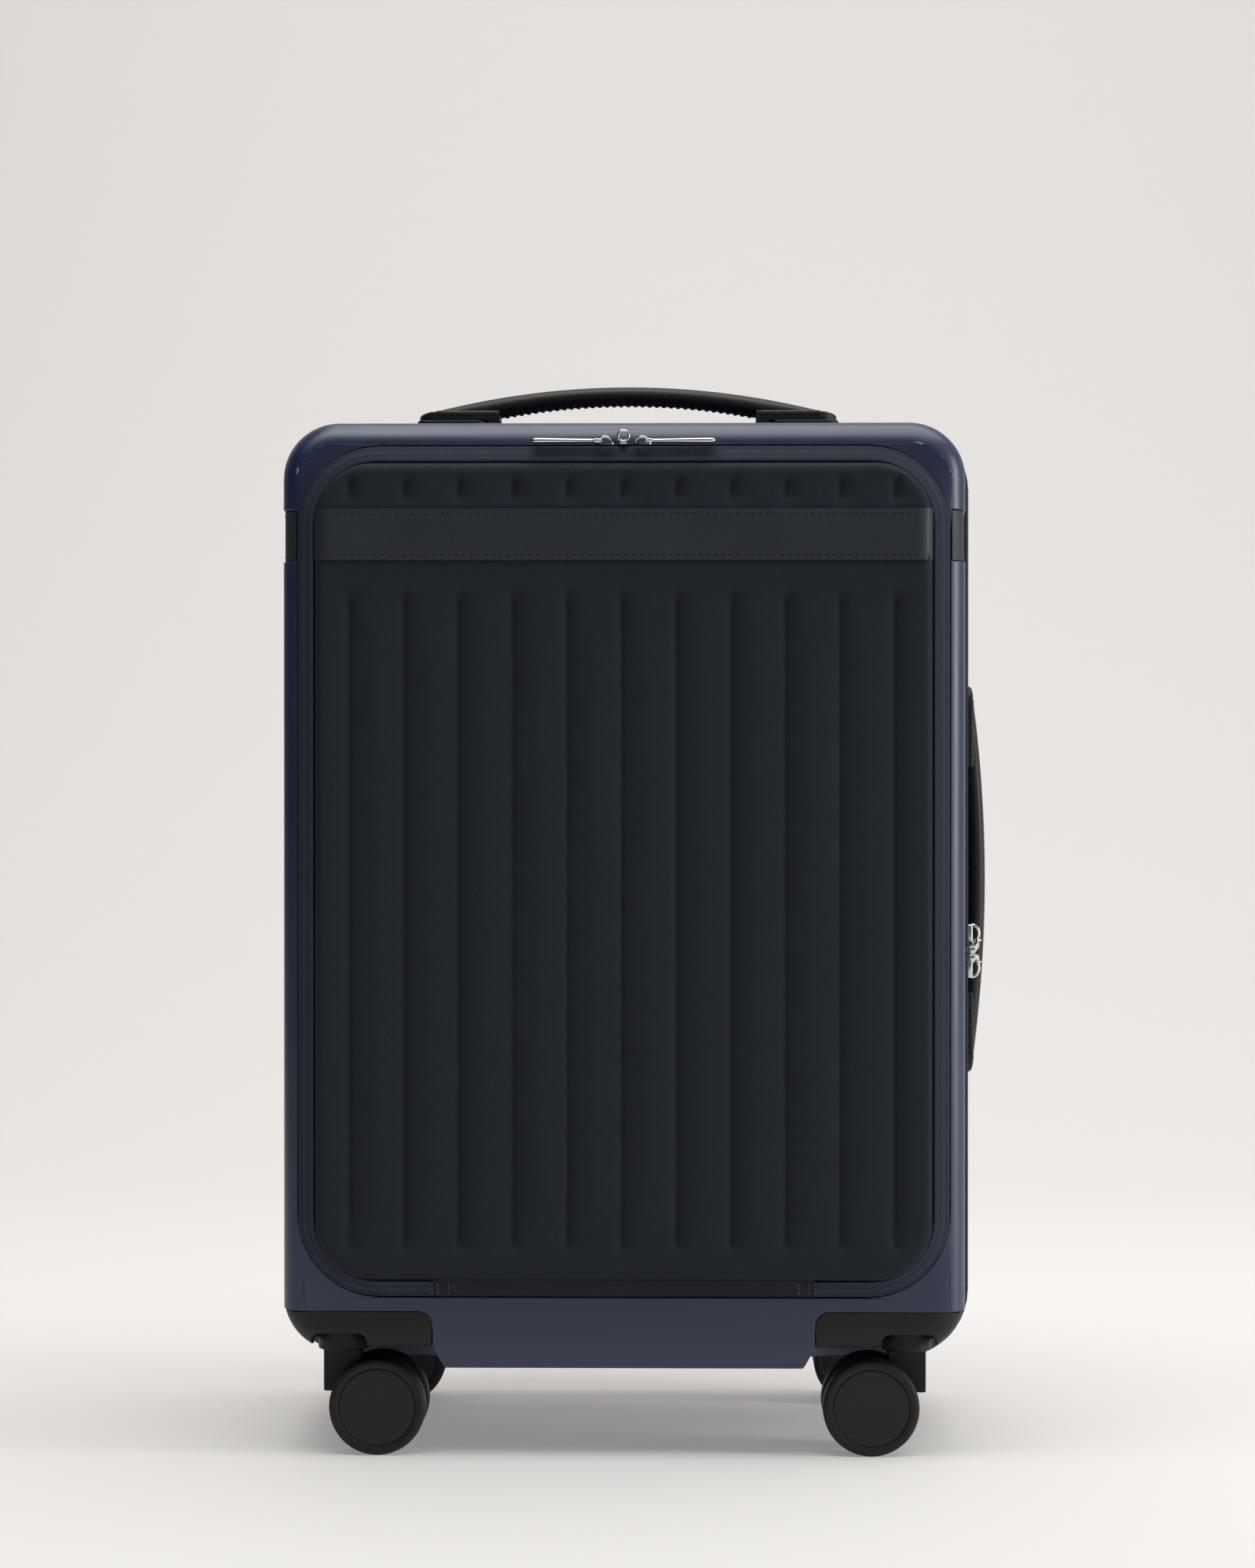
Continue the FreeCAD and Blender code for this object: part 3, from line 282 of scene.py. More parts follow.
def softened(nodeName, width, material, body, segments=2, angle=28):
    # a welded copy of a CAD node with its sharp edges rounded off
    bm = bmesh.new()
    bm.from_mesh(nodes[nodeName].data)
    bmesh.ops.remove_doubles(bm, verts=bm.verts, dist=0.00002)
    bmesh.ops.dissolve_limit(bm, angle_limit=math.radians(1), verts=bm.verts, edges=bm.edges)
    piece = makePiece(bm, nodeName + "_soft", material, body, True, [nodeName], 30)
    bevel = piece.modifiers.new("edges", "BEVEL")
    bevel.width = width
    bevel.segments = segments
    bevel.limit_method = "ANGLE"
    bevel.angle_limit = math.radians(angle)
    bevel.use_clamp_overlap = False
    bevel.harden_normals = True
    return piece


def roundedLoop(bm, halfWidth, low, high, corner, y, arcSteps=10):
    # the edges of one rounded rectangle in a plane Y = y
    corners = [bm.verts.new((x, y, z)) for x, z in
               ((-halfWidth, low), (halfWidth, low), (halfWidth, high), (-halfWidth, high))]
    bm.faces.new(corners)
    before = set(bm.faces)
    bmesh.ops.bevel(bm, geom=corners, offset=corner, affect="VERTICES", segments=arcSteps, profile=0.5,
                    material=-1)
    face = next(face for face in bm.faces if abs(face.calc_center_median().y - y) < 1e-7
                and len(face.verts) > 8)
    edges = list(face.edges)
    bmesh.ops.delete(bm, geom=[face], context="FACES_ONLY")
    return edges


def ringSkin(bm, outline, profile, closed=False):
    # skins a stack of rounded rectangles; each profile step is (inset, y)
    loops = [roundedLoop(bm, outline["half"] - inset, outline["low"] + inset, outline["high"] - inset,
                         max(outline["corner"] - inset, 0.0005), y) for inset, y in profile]
    stretches = list(zip(loops, loops[1:]))
    if closed:
        stretches.append((loops[-1], loops[0]))
    for first, second in stretches:
        bmesh.ops.bridge_loops(bm, edges=first + second)
    return bm


def aroundOutline(x, z, outline):
    # distance along the rounded rectangle, for weaves that follow it
    corner = outline["corner"]
    coreX = outline["half"] - corner
    coreLow, coreHigh = outline["low"] + corner, outline["high"] - corner
    straightX, straightZ = 2 * coreX, coreHigh - coreLow
    quarter = corner * math.pi / 2
    nearX, nearZ = min(max(x, -coreX), coreX), min(max(z, coreLow), coreHigh)
    turn = math.atan2(z - nearZ, x - nearX) % (2 * math.pi)
    right, top, left = straightX + quarter, straightX + 2 * quarter + straightZ, 2 * straightX + 3 * quarter + straightZ
    if nearX == coreX and (turn > 1.5 * math.pi or (nearZ == coreLow and turn > math.pi)):
        return straightX + (turn - 1.5 * math.pi) * corner
    if nearX == coreX and turn <= math.pi / 2 and nearZ == coreHigh:
        return right + straightZ + turn * corner
    if nearX == -coreX and math.pi / 2 <= turn <= math.pi and nearZ == coreHigh:
        return top + straightX + (turn - math.pi / 2) * corner
    if nearX == -coreX and math.pi <= turn <= 1.5 * math.pi and nearZ == coreLow:
        return left + straightZ + (turn - math.pi) * corner
    if abs(x - nearX) > abs(z - nearZ):
        return right + z - coreLow if x > 0 else left + coreHigh - z
    return x + coreX if z < (coreLow + coreHigh) / 2 else top + coreX - x


def weaveByOutline(bm, outline, across):
    # writes the map that herringbone weaves read; across gives the second coordinate of a point
    layer = bm.loops.layers.uv.new("weave")
    for face in bm.faces:
        middle = face.calc_center_median()
        centre = aroundOutline(middle.x, middle.z, outline)
        for loop in face.loops:
            spot = loop.vert.co
            along = aroundOutline(spot.x, spot.z, outline)
            whole = 2 * math.pi * outline["corner"] + 4 * (outline["half"] - outline["corner"]) + 2 * (
                outline["high"] - outline["low"] - 2 * outline["corner"])
            if along - centre > whole / 2:
                along -= whole
            elif centre - along > whole / 2:
                along += whole
            loop[layer].uv = (along, across(spot))


def stitchRow(bm, points, normal, length, radius):
    # small raised stitches laid end to end; points are (middle, direction) pairs
    for middle, direction in points:
        turn = direction.to_track_quat("X", "Z").to_matrix().to_4x4()
        if abs(normal.dot(direction)) < 0.99:
            side = normal.cross(direction).normalized()
            turn = Matrix((direction.normalized(), side, direction.cross(side).normalized())).transposed().to_4x4()
        shape = Matrix.Translation(middle) @ turn @ Matrix.Diagonal((length / 2, radius, radius, 1))
        bmesh.ops.create_icosphere(bm, subdivisions=1, radius=1, matrix=shape)


flapLow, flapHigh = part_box("flap_panel")
flapSize = {"edgeRoll": 3.6 * mm, "grooveDepth": 1.7 * mm, "grooveWidth": 2.2 * mm, "pillow": 1.1 * mm, "pitch": 28 * mm,
            "cellsPerPitch": 12, "corner": 29 * mm, "upper": (6 * mm, 21 * mm), "lower": (64 * mm, 13 * mm), "fade": (4 * mm, 7 * mm),
            "puff": 0.9 * mm, "pressure": 4}
panelOutline = {"half": flapHigh.x, "low": flapLow.z, "high": flapHigh.z, "corner": flapSize["corner"]}


def insideDistance(x, z, outline):
    # how far a point lies inside the rounded rectangle
    corner = outline["corner"]
    overX = abs(x) - (outline["half"] - corner)
    middle = (outline["low"] + outline["high"]) / 2
    overZ = abs(z - middle) - ((outline["high"] - outline["low"]) / 2 - corner)
    outside = math.hypot(max(overX, 0), max(overZ, 0)) + min(max(overX, overZ), 0)
    return corner - outside


def fitCorner(x, z, outline):
    # draws the square grid's corners in to the rounded outline
    corner = outline["corner"]
    coreX = outline["half"] - corner
    middle = (outline["low"] + outline["high"]) / 2
    coreZ = (outline["high"] - outline["low"]) / 2 - corner
    overX, overZ = abs(x) - coreX, abs(z - middle) - coreZ
    if overX <= 0 or overZ <= 0:
        return x, z
    square = max(overX, overZ)
    round_ = math.hypot(overX, overZ)
    scale = square / round_
    return math.copysign(coreX + overX * scale, x), middle + math.copysign(coreZ + overZ * scale, z - middle)


def smoothStep(amount):
    amount = min(max(amount, 0), 1)
    return amount * amount * (3 - 2 * amount)


def quiltHeight(x, z):
    # how far the flap's face stands behind its highest plane
    depthIn = insideDistance(x, z, panelOutline)
    roll = 1 - math.sqrt(max(0, 1 - (1 - min(depthIn / flapSize["edgeRoll"], 1)) ** 2))
    top, low = flapHigh.z, flapLow.z
    fade, longFade = flapSize["fade"]
    upper = smoothStep((top - flapSize["upper"][0] - z) / fade) * smoothStep((z - top + flapSize["upper"][1]) / fade)
    lower = smoothStep((top - flapSize["lower"][0] - z) / longFade) * smoothStep((z - low - flapSize["lower"][1]) / longFade)
    fromGroove = (x + flapSize["pitch"] / 2) % flapSize["pitch"] - flapSize["pitch"] / 2
    inReach = 1 if abs(x) < 5.5 * flapSize["pitch"] else 0
    groove = math.exp(-(fromGroove / flapSize["grooveWidth"]) ** 2) * flapSize["grooveDepth"]
    land = (abs(fromGroove) / (flapSize["pitch"] / 2)) ** 0.6
    active = max(upper, lower) * inReach
    sag = flapSize["pillow"] * (1 - land) * active
    return roll * 3.6 * mm + groove * active + sag


def puffed(piece, held, pressure, cap, frames=7):
    # blows the cloth up between what is held, and keeps each point within the cap
    cloth = piece.modifiers.new("cloth", "CLOTH")
    cloth.settings.vertex_group_mass = held
    cloth.settings.effector_weights.gravity = 0
    cloth.settings.use_pressure = True
    cloth.settings.uniform_pressure_force = pressure
    cloth.settings.quality = 4
    cloth.settings.tension_stiffness = cloth.settings.compression_stiffness = 30
    cloth.point_cache.frame_end = frames
    start = [vert.co.copy() for vert in piece.data.vertices]
    for frameNumber in range(1, frames + 1):
        bpy.context.scene.frame_set(frameNumber)
    solved = piece.evaluated_get(bpy.context.evaluated_depsgraph_get())
    moved = [vert.co.copy() for vert in solved.data.vertices]
    piece.modifiers.remove(cloth)
    bpy.context.scene.frame_set(1)
    for vert, before, after in zip(piece.data.vertices, start, moved):
        change = after - before
        vert.co = before + change * min(1, cap / max(change.length, 1e-9))


def buildFlapPanel():
    bm = bmesh.new()
    cell = flapSize["pitch"] / flapSize["cellsPerPitch"]
    width, height = 2 * flapHigh.x, flapHigh.z - flapLow.z
    bmesh.ops.create_grid(bm, x_segments=2 * round(width / 2 / cell), y_segments=round(height / cell), size=0.5)
    centre = (flapHigh.z + flapLow.z) / 2
    place = Matrix.Translation((0, 0, centre)) @ Matrix.Rotation(math.pi / 2, 4, "X")
    bmesh.ops.transform(bm, matrix=place @ Matrix.Diagonal((width, height, 1, 1)), verts=bm.verts)
    for vert in bm.verts:
        x, z = fitCorner(vert.co.x, vert.co.z, panelOutline)
        vert.co = (x, flapLow.y + quiltHeight(x, z), z)
    rim = [edge for edge in bm.edges if edge.is_boundary]
    for back in (flapHigh.y - 1 * mm, flapHigh.y):
        grown = bmesh.ops.extrude_edge_only(bm, edges=rim)
        rim = [item for item in grown["geom"] if isinstance(item, bmesh.types.BMEdge) and item.is_boundary]
        for vert in {v for edge in rim for v in edge.verts}:
            vert.co.y = back
    bmesh.ops.contextual_create(bm, geom=rim)
    piece = makePiece(bm, "quilted_flap", flapTwill, "pocket_flap", True, ["flap_panel"], 60)
    held = piece.vertex_groups.new(name="held")
    for vert in piece.data.vertices:
        inside = insideDistance(vert.co.x, vert.co.z, panelOutline)
        fromGroove = abs((vert.co.x + flapSize["pitch"] / 2) % flapSize["pitch"] - flapSize["pitch"] / 2)
        underBand = abs(vert.co.z - 0.47625) < 15 * mm
        if inside < 6 * mm or underBand or fromGroove < 3 * mm or vert.co.y > flapLow.y + 5 * mm:
            held.add([vert.index], 1, "REPLACE")
    puffed(piece, "held", flapSize["pressure"], flapSize["puff"])
    return piece


buildFlapPanel()
print("flap panel quilted")

gussetLow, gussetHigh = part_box("flap_gusset")
gussetOutline = {"half": gussetHigh.x + 0.4 * mm, "low": gussetLow.z - 0.4 * mm, "high": gussetHigh.z + 0.4 * mm,
                 "corner": 41 * mm}


opening = {"half": 168.2 * mm, "low": 83.5 * mm, "high": 522.6 * mm, "cadCorner": 20 * mm, "corner": 43 * mm,
           "overlap": 0.8 * mm, "back": -103.2 * mm, "edge": 0.6 * mm}
frontFace = {"half": 176.55 * mm, "low": 44.95 * mm, "high": 535.05 * mm, "corner": 29.05 * mm, "y": -108.02 * mm,
             "round": 14 * mm}


def frontSurface(x, z):
    # where the shell's front stands, with its rounded rim
    short = max(frontFace["round"] - insideDistance(x, z, frontFace), 0)
    return frontFace["y"] + frontFace["round"] - math.sqrt(max(frontFace["round"] ** 2 - short ** 2, 0))


def buildOpeningCorners():
    # fills the shell's opening out to its wide corners
    bm = bmesh.new()
    steps = 14
    for sideX in (-1, 1):
        for edgeZ, sideZ in ((opening["low"], -1), (opening["high"], 1)):
            arcs = []
            for corner, out in ((opening["corner"], 0), (opening["cadCorner"], opening["overlap"])):
                row = []
                for step in range(steps + 1):
                    turn = math.pi / 2 * step / steps
                    x = sideX * (opening["half"] - corner + (corner + out) * math.cos(turn))
                    z = edgeZ - sideZ * (corner - (corner + out) * math.sin(turn))
                    row.append(bm.verts.new((x, frontSurface(x, z), z)))
                arcs.append([bm.edges.new(pair) for pair in zip(row, row[1:])])
            bmesh.ops.bridge_loops(bm, edges=arcs[0] + arcs[1])
    bmesh.ops.recalc_face_normals(bm, faces=bm.faces)
    grown = bmesh.ops.extrude_face_region(bm, geom=bm.faces[:])
    for item in grown["geom"]:
        if isinstance(item, bmesh.types.BMVert):
            item.co.y = opening["back"]
    piece = makePiece(bm, "opening_corners", shellNavy, "front_half", True, (), 40)
    bevel = piece.modifiers.new("edges", "BEVEL")
    bevel.width = opening["edge"]
    bevel.segments = 2
    bevel.limit_method = "ANGLE"
    bevel.angle_limit = math.radians(50)


buildOpeningCorners()


def buildGusset():
    bm = bmesh.new()
    # each step is how far in and how far forward of the gusset's back edge
    steps = [(0.9, 0.0), (0.3, 0.5), (0.2, 3.4), (0.0, 4.4), (0.5, 5.0), (1.5, 5.5), (3.0, 6.3), (4.5, 7.1), (6.0, 7.9),
             (7.3, 8.5), (8.1, 8.5), (8.6, 7.9), (8.7, 6.0)]
    profile = [(inward * mm, gussetHigh.y - forward * mm) for inward, forward in steps]
    ringSkin(bm, gussetOutline, profile)
    weaveByOutline(bm, gussetOutline, lambda spot: spot.y)
    makePiece(bm, "flap_gusset_tape", gussetTape, "pocket_flap", True, ["flap_gusset"], 70)


buildGusset()
print("gusset made")

bandLow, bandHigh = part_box("flap_band")
bandSize = {"stitchInset": 2.6 * mm, "stitchPitch": 3.8 * mm, "stitchLength": 2.7 * mm, "thread": 0.55 * mm}


def buildFlapBand():
    bm = bmesh.new()
    bmesh.ops.create_cube(bm, size=1)
    size = bandHigh - bandLow
    reach = size.x / 2 + 0.2 * mm
    bmesh.ops.transform(bm, matrix=Matrix.Translation((bandLow + bandHigh) / 2) @
                        Matrix.Diagonal((2 * reach, size.y * 1.6, size.z, 1)), verts=bm.verts)
    across = [edge for edge in bm.edges if abs(edge.verts[0].co.x - edge.verts[1].co.x) > reach]
    bmesh.ops.subdivide_edges(bm, edges=across, cuts=79, use_grid_fill=True)
    upright = [edge for edge in bm.edges if abs(edge.verts[0].co.z - edge.verts[1].co.z) > size.z / 2]
    bmesh.ops.subdivide_edges(bm, edges=upright, cuts=11, use_grid_fill=True)
    middle = (bandLow.z + bandHigh.z) / 2
    for vert in bm.verts:
        fromMiddle = abs(vert.co.z - middle) / (size.z / 2)
        fromEnd = (reach - abs(vert.co.x)) / (5 * mm)
        stitchLine = math.exp(-((abs(vert.co.z - middle) - size.z / 2 + bandSize["stitchInset"]) / (1.2 * mm)) ** 2)
        if vert.co.y < (bandLow.y + bandHigh.y) / 2:
            vert.co.y += 0.6 * mm * fromMiddle ** 10 + 0.3 * mm * stitchLine
        vert.co.y += 4.2 * mm * (1 - min(fromEnd, 1)) ** 2.2
    makePiece(bm, "flap_leather_band", bandLeather, "pocket_flap", True, ["flap_band"], 50)
    stitches = bmesh.new()
    count = int(2 * (reach - 5 * mm) / bandSize["stitchPitch"])
    for edge in (bandLow.z + bandSize["stitchInset"], bandHigh.z - bandSize["stitchInset"]):
        places = [(Vector(((step - (count - 1) / 2) * bandSize["stitchPitch"], bandLow.y + 0.15 * mm, edge)),
                   Vector((1, 0, 0.06))) for step in range(count)]
        stitchRow(stitches, places, Vector((0, -1, 0)), bandSize["stitchLength"], bandSize["thread"])
    makePiece(stitches, "flap_band_stitches", darkThread, "pocket_flap", True)


buildFlapBand()
print("leather band stitched")


flapStrip = {"half": 98 * mm, "thick": 0.7 * mm, "tackAcross": (90 * mm, 95.5 * mm, 98.5 * mm)}


def ribbon(bm, path, acrossLow, acrossHigh, cuts=1):
    # a strip along X whose edge follows (y, z) points
    rows = []
    for y, z in path:
        rows.append([bm.verts.new((acrossLow + (acrossHigh - acrossLow) * step / cuts, y, z))
                     for step in range(cuts + 1)])
    lines = [[bm.edges.new(pair) for pair in zip(row, row[1:])] for row in rows]
    for first, second in zip(lines, lines[1:]):
        bmesh.ops.bridge_loops(bm, edges=first + second)
    return bm


def buildFlapStrip():
    # the plain fabric that the flap hangs on, folded round the pivot line
    path = [(-0.1125, 0.0930), (-0.1121, 0.0905), (-0.1110, 0.0878), (-0.1095, 0.0852), (-0.1078, 0.0838),
            (-0.1052, 0.0835), (-0.1015, 0.0838)]
    bm = bmesh.new()
    ribbon(bm, path, -flapStrip["half"], flapStrip["half"], 28)
    bmesh.ops.recalc_face_normals(bm, faces=bm.faces)
    bmesh.ops.solidify(bm, geom=bm.faces[:], thickness=flapStrip["thick"])
    strip = makePiece(bm, "flap_hinge_strip", flapTwill, None, True)
    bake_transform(strip)
    tacks = bmesh.new()
    for side in (-1, 1):
        for across in flapStrip["tackAcross"]:
            places = [(Vector((side * across, -0.1130 + 0.0034 * step, 0.0917 - 0.0064 * step)),
                       Vector((side * 0.06, 0.45, -0.9))) for step in (0.15, 0.5, 0.85)]
            stitchRow(tacks, places, Vector((0, -1, 0)), 2.1 * mm, 0.35 * mm)
    makePiece(tacks, "flap_bar_tacks", paleThread, "pocket_flap", True)


buildFlapStrip()
print("flap strip made")


def makeSoftParts():
    # moulded parts keep their CAD shape, with every edge rounded
    softParts = [
        ("front_shell", 0.6, shellNavy, "front_half", "shell"), ("rear_shell", 0.6, shellNavy, "rear_half", "shell"),
        ("front_brackets", 0.6, blackPlastic, "front_half", "black_plastic"),
        ("rear_brackets", 0.6, blackPlastic, "rear_half", "black_plastic"),
        ("trolley_bezel", 0.9, blackPlastic, "rear_half", "black_plastic"),
        ("trolley_feet", 0.8, blackPlastic, "rear_half", "black_plastic"),
        ("top_handle_plates", 0.9, blackPlastic, "rear_half", "black_plastic"),
        ("side_handle_plates", 0.9, blackPlastic, "rear_half", "black_plastic"),
        ("trolley_grip", 0.8, blackPlastic, "trolley_upper", "black_plastic"),
        ("release_button", 0.5, hubPlastic, "release_button", "black_plastic"),
        ("strap_buckle", 0.9, blackPlastic, "rear_half", "black_plastic"),
        ("front_bands", 0.25, bandLeather, "front_half", "leather"),
        ("rear_band", 0.25, bandLeather, "rear_half", "leather"),
        ("pocket_lining", 0.5, liningCloth, "front_half", "lining"),
        ("flap_board", 0.6, liningCloth, "pocket_flap", "board"),
    ]
    for corner in ("front_left", "front_right", "rear_left", "rear_right"):
        softParts.append((f"caster_{corner}_fork", 0.9, blackPlastic, f"caster_{corner}", "black_plastic"))
    for nodeName, width, material, body, slotName in softParts:
        softened(nodeName, width * mm, material, body)


makeSoftParts()
print("moulded parts softened")


def sectionLoop(bm, centre, halfWide, halfTall, power=2.6, steps=24, turn=None):
    # one rounded section across X, from a circle pressed towards a square
    ring = bmesh.ops.create_circle(bm, cap_ends=False, segments=steps, radius=1)["verts"]
    for vert in ring:
        angle = math.atan2(vert.co.y, vert.co.x)
        wide = math.copysign(abs(math.cos(angle)) ** (2 / power), math.cos(angle)) * halfWide
        tall = math.copysign(abs(math.sin(angle)) ** (2 / power), math.sin(angle)) * halfTall
        spot = Vector((0, wide, tall))
        vert.co = Vector(centre) + (turn @ spot if turn else spot)
    return list({edge for vert in ring for edge in vert.link_edges})


def sweep(bm, sections):
    # skins a row of sections and closes both ends
    loops = [sectionLoop(bm, *section) for section in sections]
    for first, second in zip(loops, loops[1:]):
        bmesh.ops.bridge_loops(bm, edges=first + second)
    for loop in (loops[0], loops[-1]):
        bmesh.ops.contextual_create(bm, geom=loop)


topHandle = {"half": 114 * mm, "rise": 565 * mm, "end": 549.5 * mm, "under": 554.8 * mm, "foot": 80 * mm,
             "base": 546 * mm, "width": 24 * mm, "tabStart": 70 * mm, "tabHeight": 5.4 * mm, "tabRound": 9 * mm, "stitchDrop": 2.2 * mm,
             "stitchPitch": 3.4 * mm, "place": Matrix.Translation((0, 0.020, 0))}
sideHandle = {"half": 106 * mm, "rise": 196.5 * mm, "end": 188.9 * mm, "under": 186.6 * mm, "foot": 72 * mm,
              "base": 184.3 * mm, "width": 22 * mm, "tabStart": 62 * mm, "tabHeight": 5.2 * mm, "tabRound": 8 * mm, "stitchDrop": 1.9 * mm,
              "stitchPitch": 3.4 * mm,
              "place": Matrix.Translation((0, 0.033, 0.295)) @ Matrix.Rotation(math.pi / 2, 4, "Y")}


def arcHeight(x, half, top, end):
    radius = (half * half + (top - end) ** 2) / (2 * (top - end))
    return top - radius + math.sqrt(max(radius * radius - x * x, 0))


def tabTop(x, size):
    # the end tab is flat, and turns down with the grip at its outer end
    return min(size["base"] + size["tabHeight"], arcHeight(x, size["half"], size["rise"], size["end"]) - 0.4 * mm)


def buildHandle(name, size, nodeName):
    # a rolled leather grip between two stitched end tabs
    roll = bmesh.new()
    sections = []
    for step in range(33):
        x = (step / 16 - 1) * (size["half"] - 4 * mm)
        top = arcHeight(x, size["half"], size["rise"], size["end"]) - 0.25 * mm
        low = max(arcHeight(min(abs(x), size["foot"]), size["foot"], size["under"], size["base"]), size["base"] + 0.6 * mm)
        narrow = 1 - 0.06 * smoothStep(abs(x) / size["foot"])
        sections.append(((x, 0, (top + low) / 2), size["width"] / 2 * 0.86 * narrow, (top - low) / 2, 2.5, 28))
    sweep(roll, sections)
    bmesh.ops.transform(roll, matrix=size["place"], verts=roll.verts)
    grip = makePiece(roll, name + "_roll", handleLeather, "rear_half", True, [nodeName], 60)

    tabs = bmesh.new()
    for side in (-1, 1):
        outlineVerts = [tabs.verts.new((side * x, y, size["base"] + 0.2 * mm)) for x, y in
                        ((size["tabStart"], -size["width"] / 2), (size["half"], -size["width"] / 2),
                         (size["half"], size["width"] / 2), (size["tabStart"], size["width"] / 2))]
        tabs.faces.new(outlineVerts)
        bmesh.ops.bevel(tabs, geom=outlineVerts[1:3], offset=size["tabRound"], affect="VERTICES", segments=8,
                        profile=0.5, material=-1)
    bmesh.ops.recalc_face_normals(tabs, faces=tabs.faces)
    grown = bmesh.ops.extrude_face_region(tabs, geom=tabs.faces[:])
    risen = [item for item in grown["geom"] if isinstance(item, bmesh.types.BMVert)]
    for vert in risen:
        vert.co.z = size["base"] + 3 * mm
    for count in range(1, 9):
        for side in (-1, 1):
            cutAt = side * (size["tabStart"] + (size["half"] - size["tabStart"]) * count / 9)
            bmesh.ops.bisect_plane(tabs, geom=tabs.verts[:] + tabs.edges[:] + tabs.faces[:], plane_co=(cutAt, 0, 0),
                                   plane_no=(1, 0, 0))
    middle = size["base"] + 1.5 * mm
    for vert in tabs.verts:
        if vert.co.z > middle:
            vert.co.z = tabTop(vert.co.x, size)
    upper = [edge for edge in tabs.edges if min(v.co.z for v in edge.verts) > middle
             and len(edge.link_faces) == 2 and edge.calc_face_angle(0) > 0.6]
    bmesh.ops.bevel(tabs, geom=upper, offset=1.3 * mm, affect="EDGES", segments=3, profile=0.5, material=-1)
    bmesh.ops.transform(tabs, matrix=size["place"], verts=tabs.verts)
    makePiece(tabs, name + "_tabs", handleLeather, "rear_half", True, (), 50)

    stitches = bmesh.new()
    places = {}
    count = int((size["half"] - size["tabStart"] - size["tabRound"]) / size["stitchPitch"])
    for side in (-1, 1):
        for face in (-1, 1):
            row = []
            for step in range(count):
                x = side * (size["tabStart"] + 2.5 * mm + step * size["stitchPitch"])
                slope = tabTop(abs(x) + 1 * mm, size) - tabTop(abs(x), size)
                z = tabTop(x, size) - size["stitchDrop"]
                row.append((Vector((x, face * (size["width"] / 2 + 0.05 * mm), z)),
                            Vector((1, 0, side * slope / mm))))
            stitchRow(stitches, row, Vector((0, face, 0)), size["stitchPitch"] * 0.72, 0.4 * mm)
            under = []
            for step in range(-17, 18):
                x = step * size["stitchPitch"] * 1.15
                if abs(x) > size["tabStart"] - 3 * mm:
                    continue
                low = arcHeight(abs(x), size["foot"], size["under"], size["base"])
                under.append((Vector((x, face * size["width"] / 2 * 0.42, low + 0.1 * mm)), Vector((1, 0, 0))))
            stitchRow(stitches, under, Vector((0, 0, -1)), size["stitchPitch"] * 0.8, 0.5 * mm)
    bmesh.ops.transform(stitches, matrix=size["place"], verts=stitches.verts)
    makePiece(stitches, name + "_stitches", darkThread, "rear_half", True)


buildHandle("top_handle", topHandle, "top_handle")
buildHandle("side_handle", sideHandle, "side_handle")
print("handles stitched")

wheel = {"radius": 25 * mm, "hub": 19.9 * mm, "width": 14.2 * mm, "shoulder": 2.4 * mm, "start": 5.8 * mm,
         "across": 128 * mm, "axis": 80 * mm, "height": 25 * mm, "steps": 64}


def spunProfile(bm, points, centre, steps):
    # turns (radius, y) points once round the wheel's axle
    row = [bm.verts.new((centre[0] + r, y, centre[2])) for r, y in points]
    edges = [bm.edges.new(pair) for pair in zip(row, row[1:])]
    bmesh.ops.spin(bm, geom=row + edges, cent=centre, axis=(0, 1, 0), dvec=(0, 0, 0), angle=2 * math.pi,
                   steps=steps, use_merge=True)
    bmesh.ops.remove_doubles(bm, verts=bm.verts, dist=0.000005)


def buildWheels(corner, sideX, sideY):
    centre = Vector((sideX * wheel["across"], sideY * wheel["axis"], wheel["height"]))
    tread, hubs = bmesh.new(), bmesh.new()
    r, h, w, s = wheel["radius"], wheel["hub"], wheel["width"], wheel["shoulder"]
    for out in (-1, 1):
        near, far = out * wheel["start"], out * (wheel["start"] + w)
        step = out * mm
        curve = [(r - s * (1 - math.sin(a)), far - out * s * (1 - math.cos(a)))
                 for a in [math.radians(d) for d in (0, 15, 30, 45, 60, 75, 90)]]
        back = [(r - s * (1 - math.cos(a)), near + out * s * (1 - math.sin(a)))
                for a in [math.radians(d) for d in (0, 22, 45, 68, 90)]]
        profile = [(h - 1.5 * mm, far - step * 1.2), (h, far - step * 1.1), (h + 0.15 * mm, far - step * 0.25),
                   (h + 0.5 * mm, far - step * 0.02)] + curve + back + [(h, near + step * 0.3), (h - 1.5 * mm, near + step)]
        spunProfile(tread, [(a, centre.y + b) for a, b in profile], centre, wheel["steps"])
        disc = [(0.0, far - step * 0.55), (6 * mm, far - step * 0.5), (12 * mm, far - step * 0.42),
                (h - 1.0 * mm, far - step * 0.28), (h - 0.35 * mm, far - step * 0.3), (h - 0.1 * mm, far - step * 0.55),
                (h - 0.1 * mm, far - step * 3), (h - 0.1 * mm, near + step * 2), (h - 0.8 * mm, near + step * 0.8),
                (15 * mm, near + step * 1.0), (14 * mm, near + step * 2.2), (8.5 * mm, near + step * 2.2),
                (7.5 * mm, near - step * 0.1), (3.2 * mm, near - step * 0.1), (3.0 * mm, near - step * 1.9), (0.0, near - step * 1.9)]
        spunProfile(hubs, [(a, centre.y + b) for a, b in disc], centre, wheel["steps"])
    makePiece(tread, f"wheel_treads_{corner}", wheelRubber, f"wheels_{corner}", True, [f"caster_{corner}_tyres"], 50)
    makePiece(hubs, f"wheel_discs_{corner}", hubPlastic, f"wheels_{corner}", True, [f"caster_{corner}_hubs"], 50)


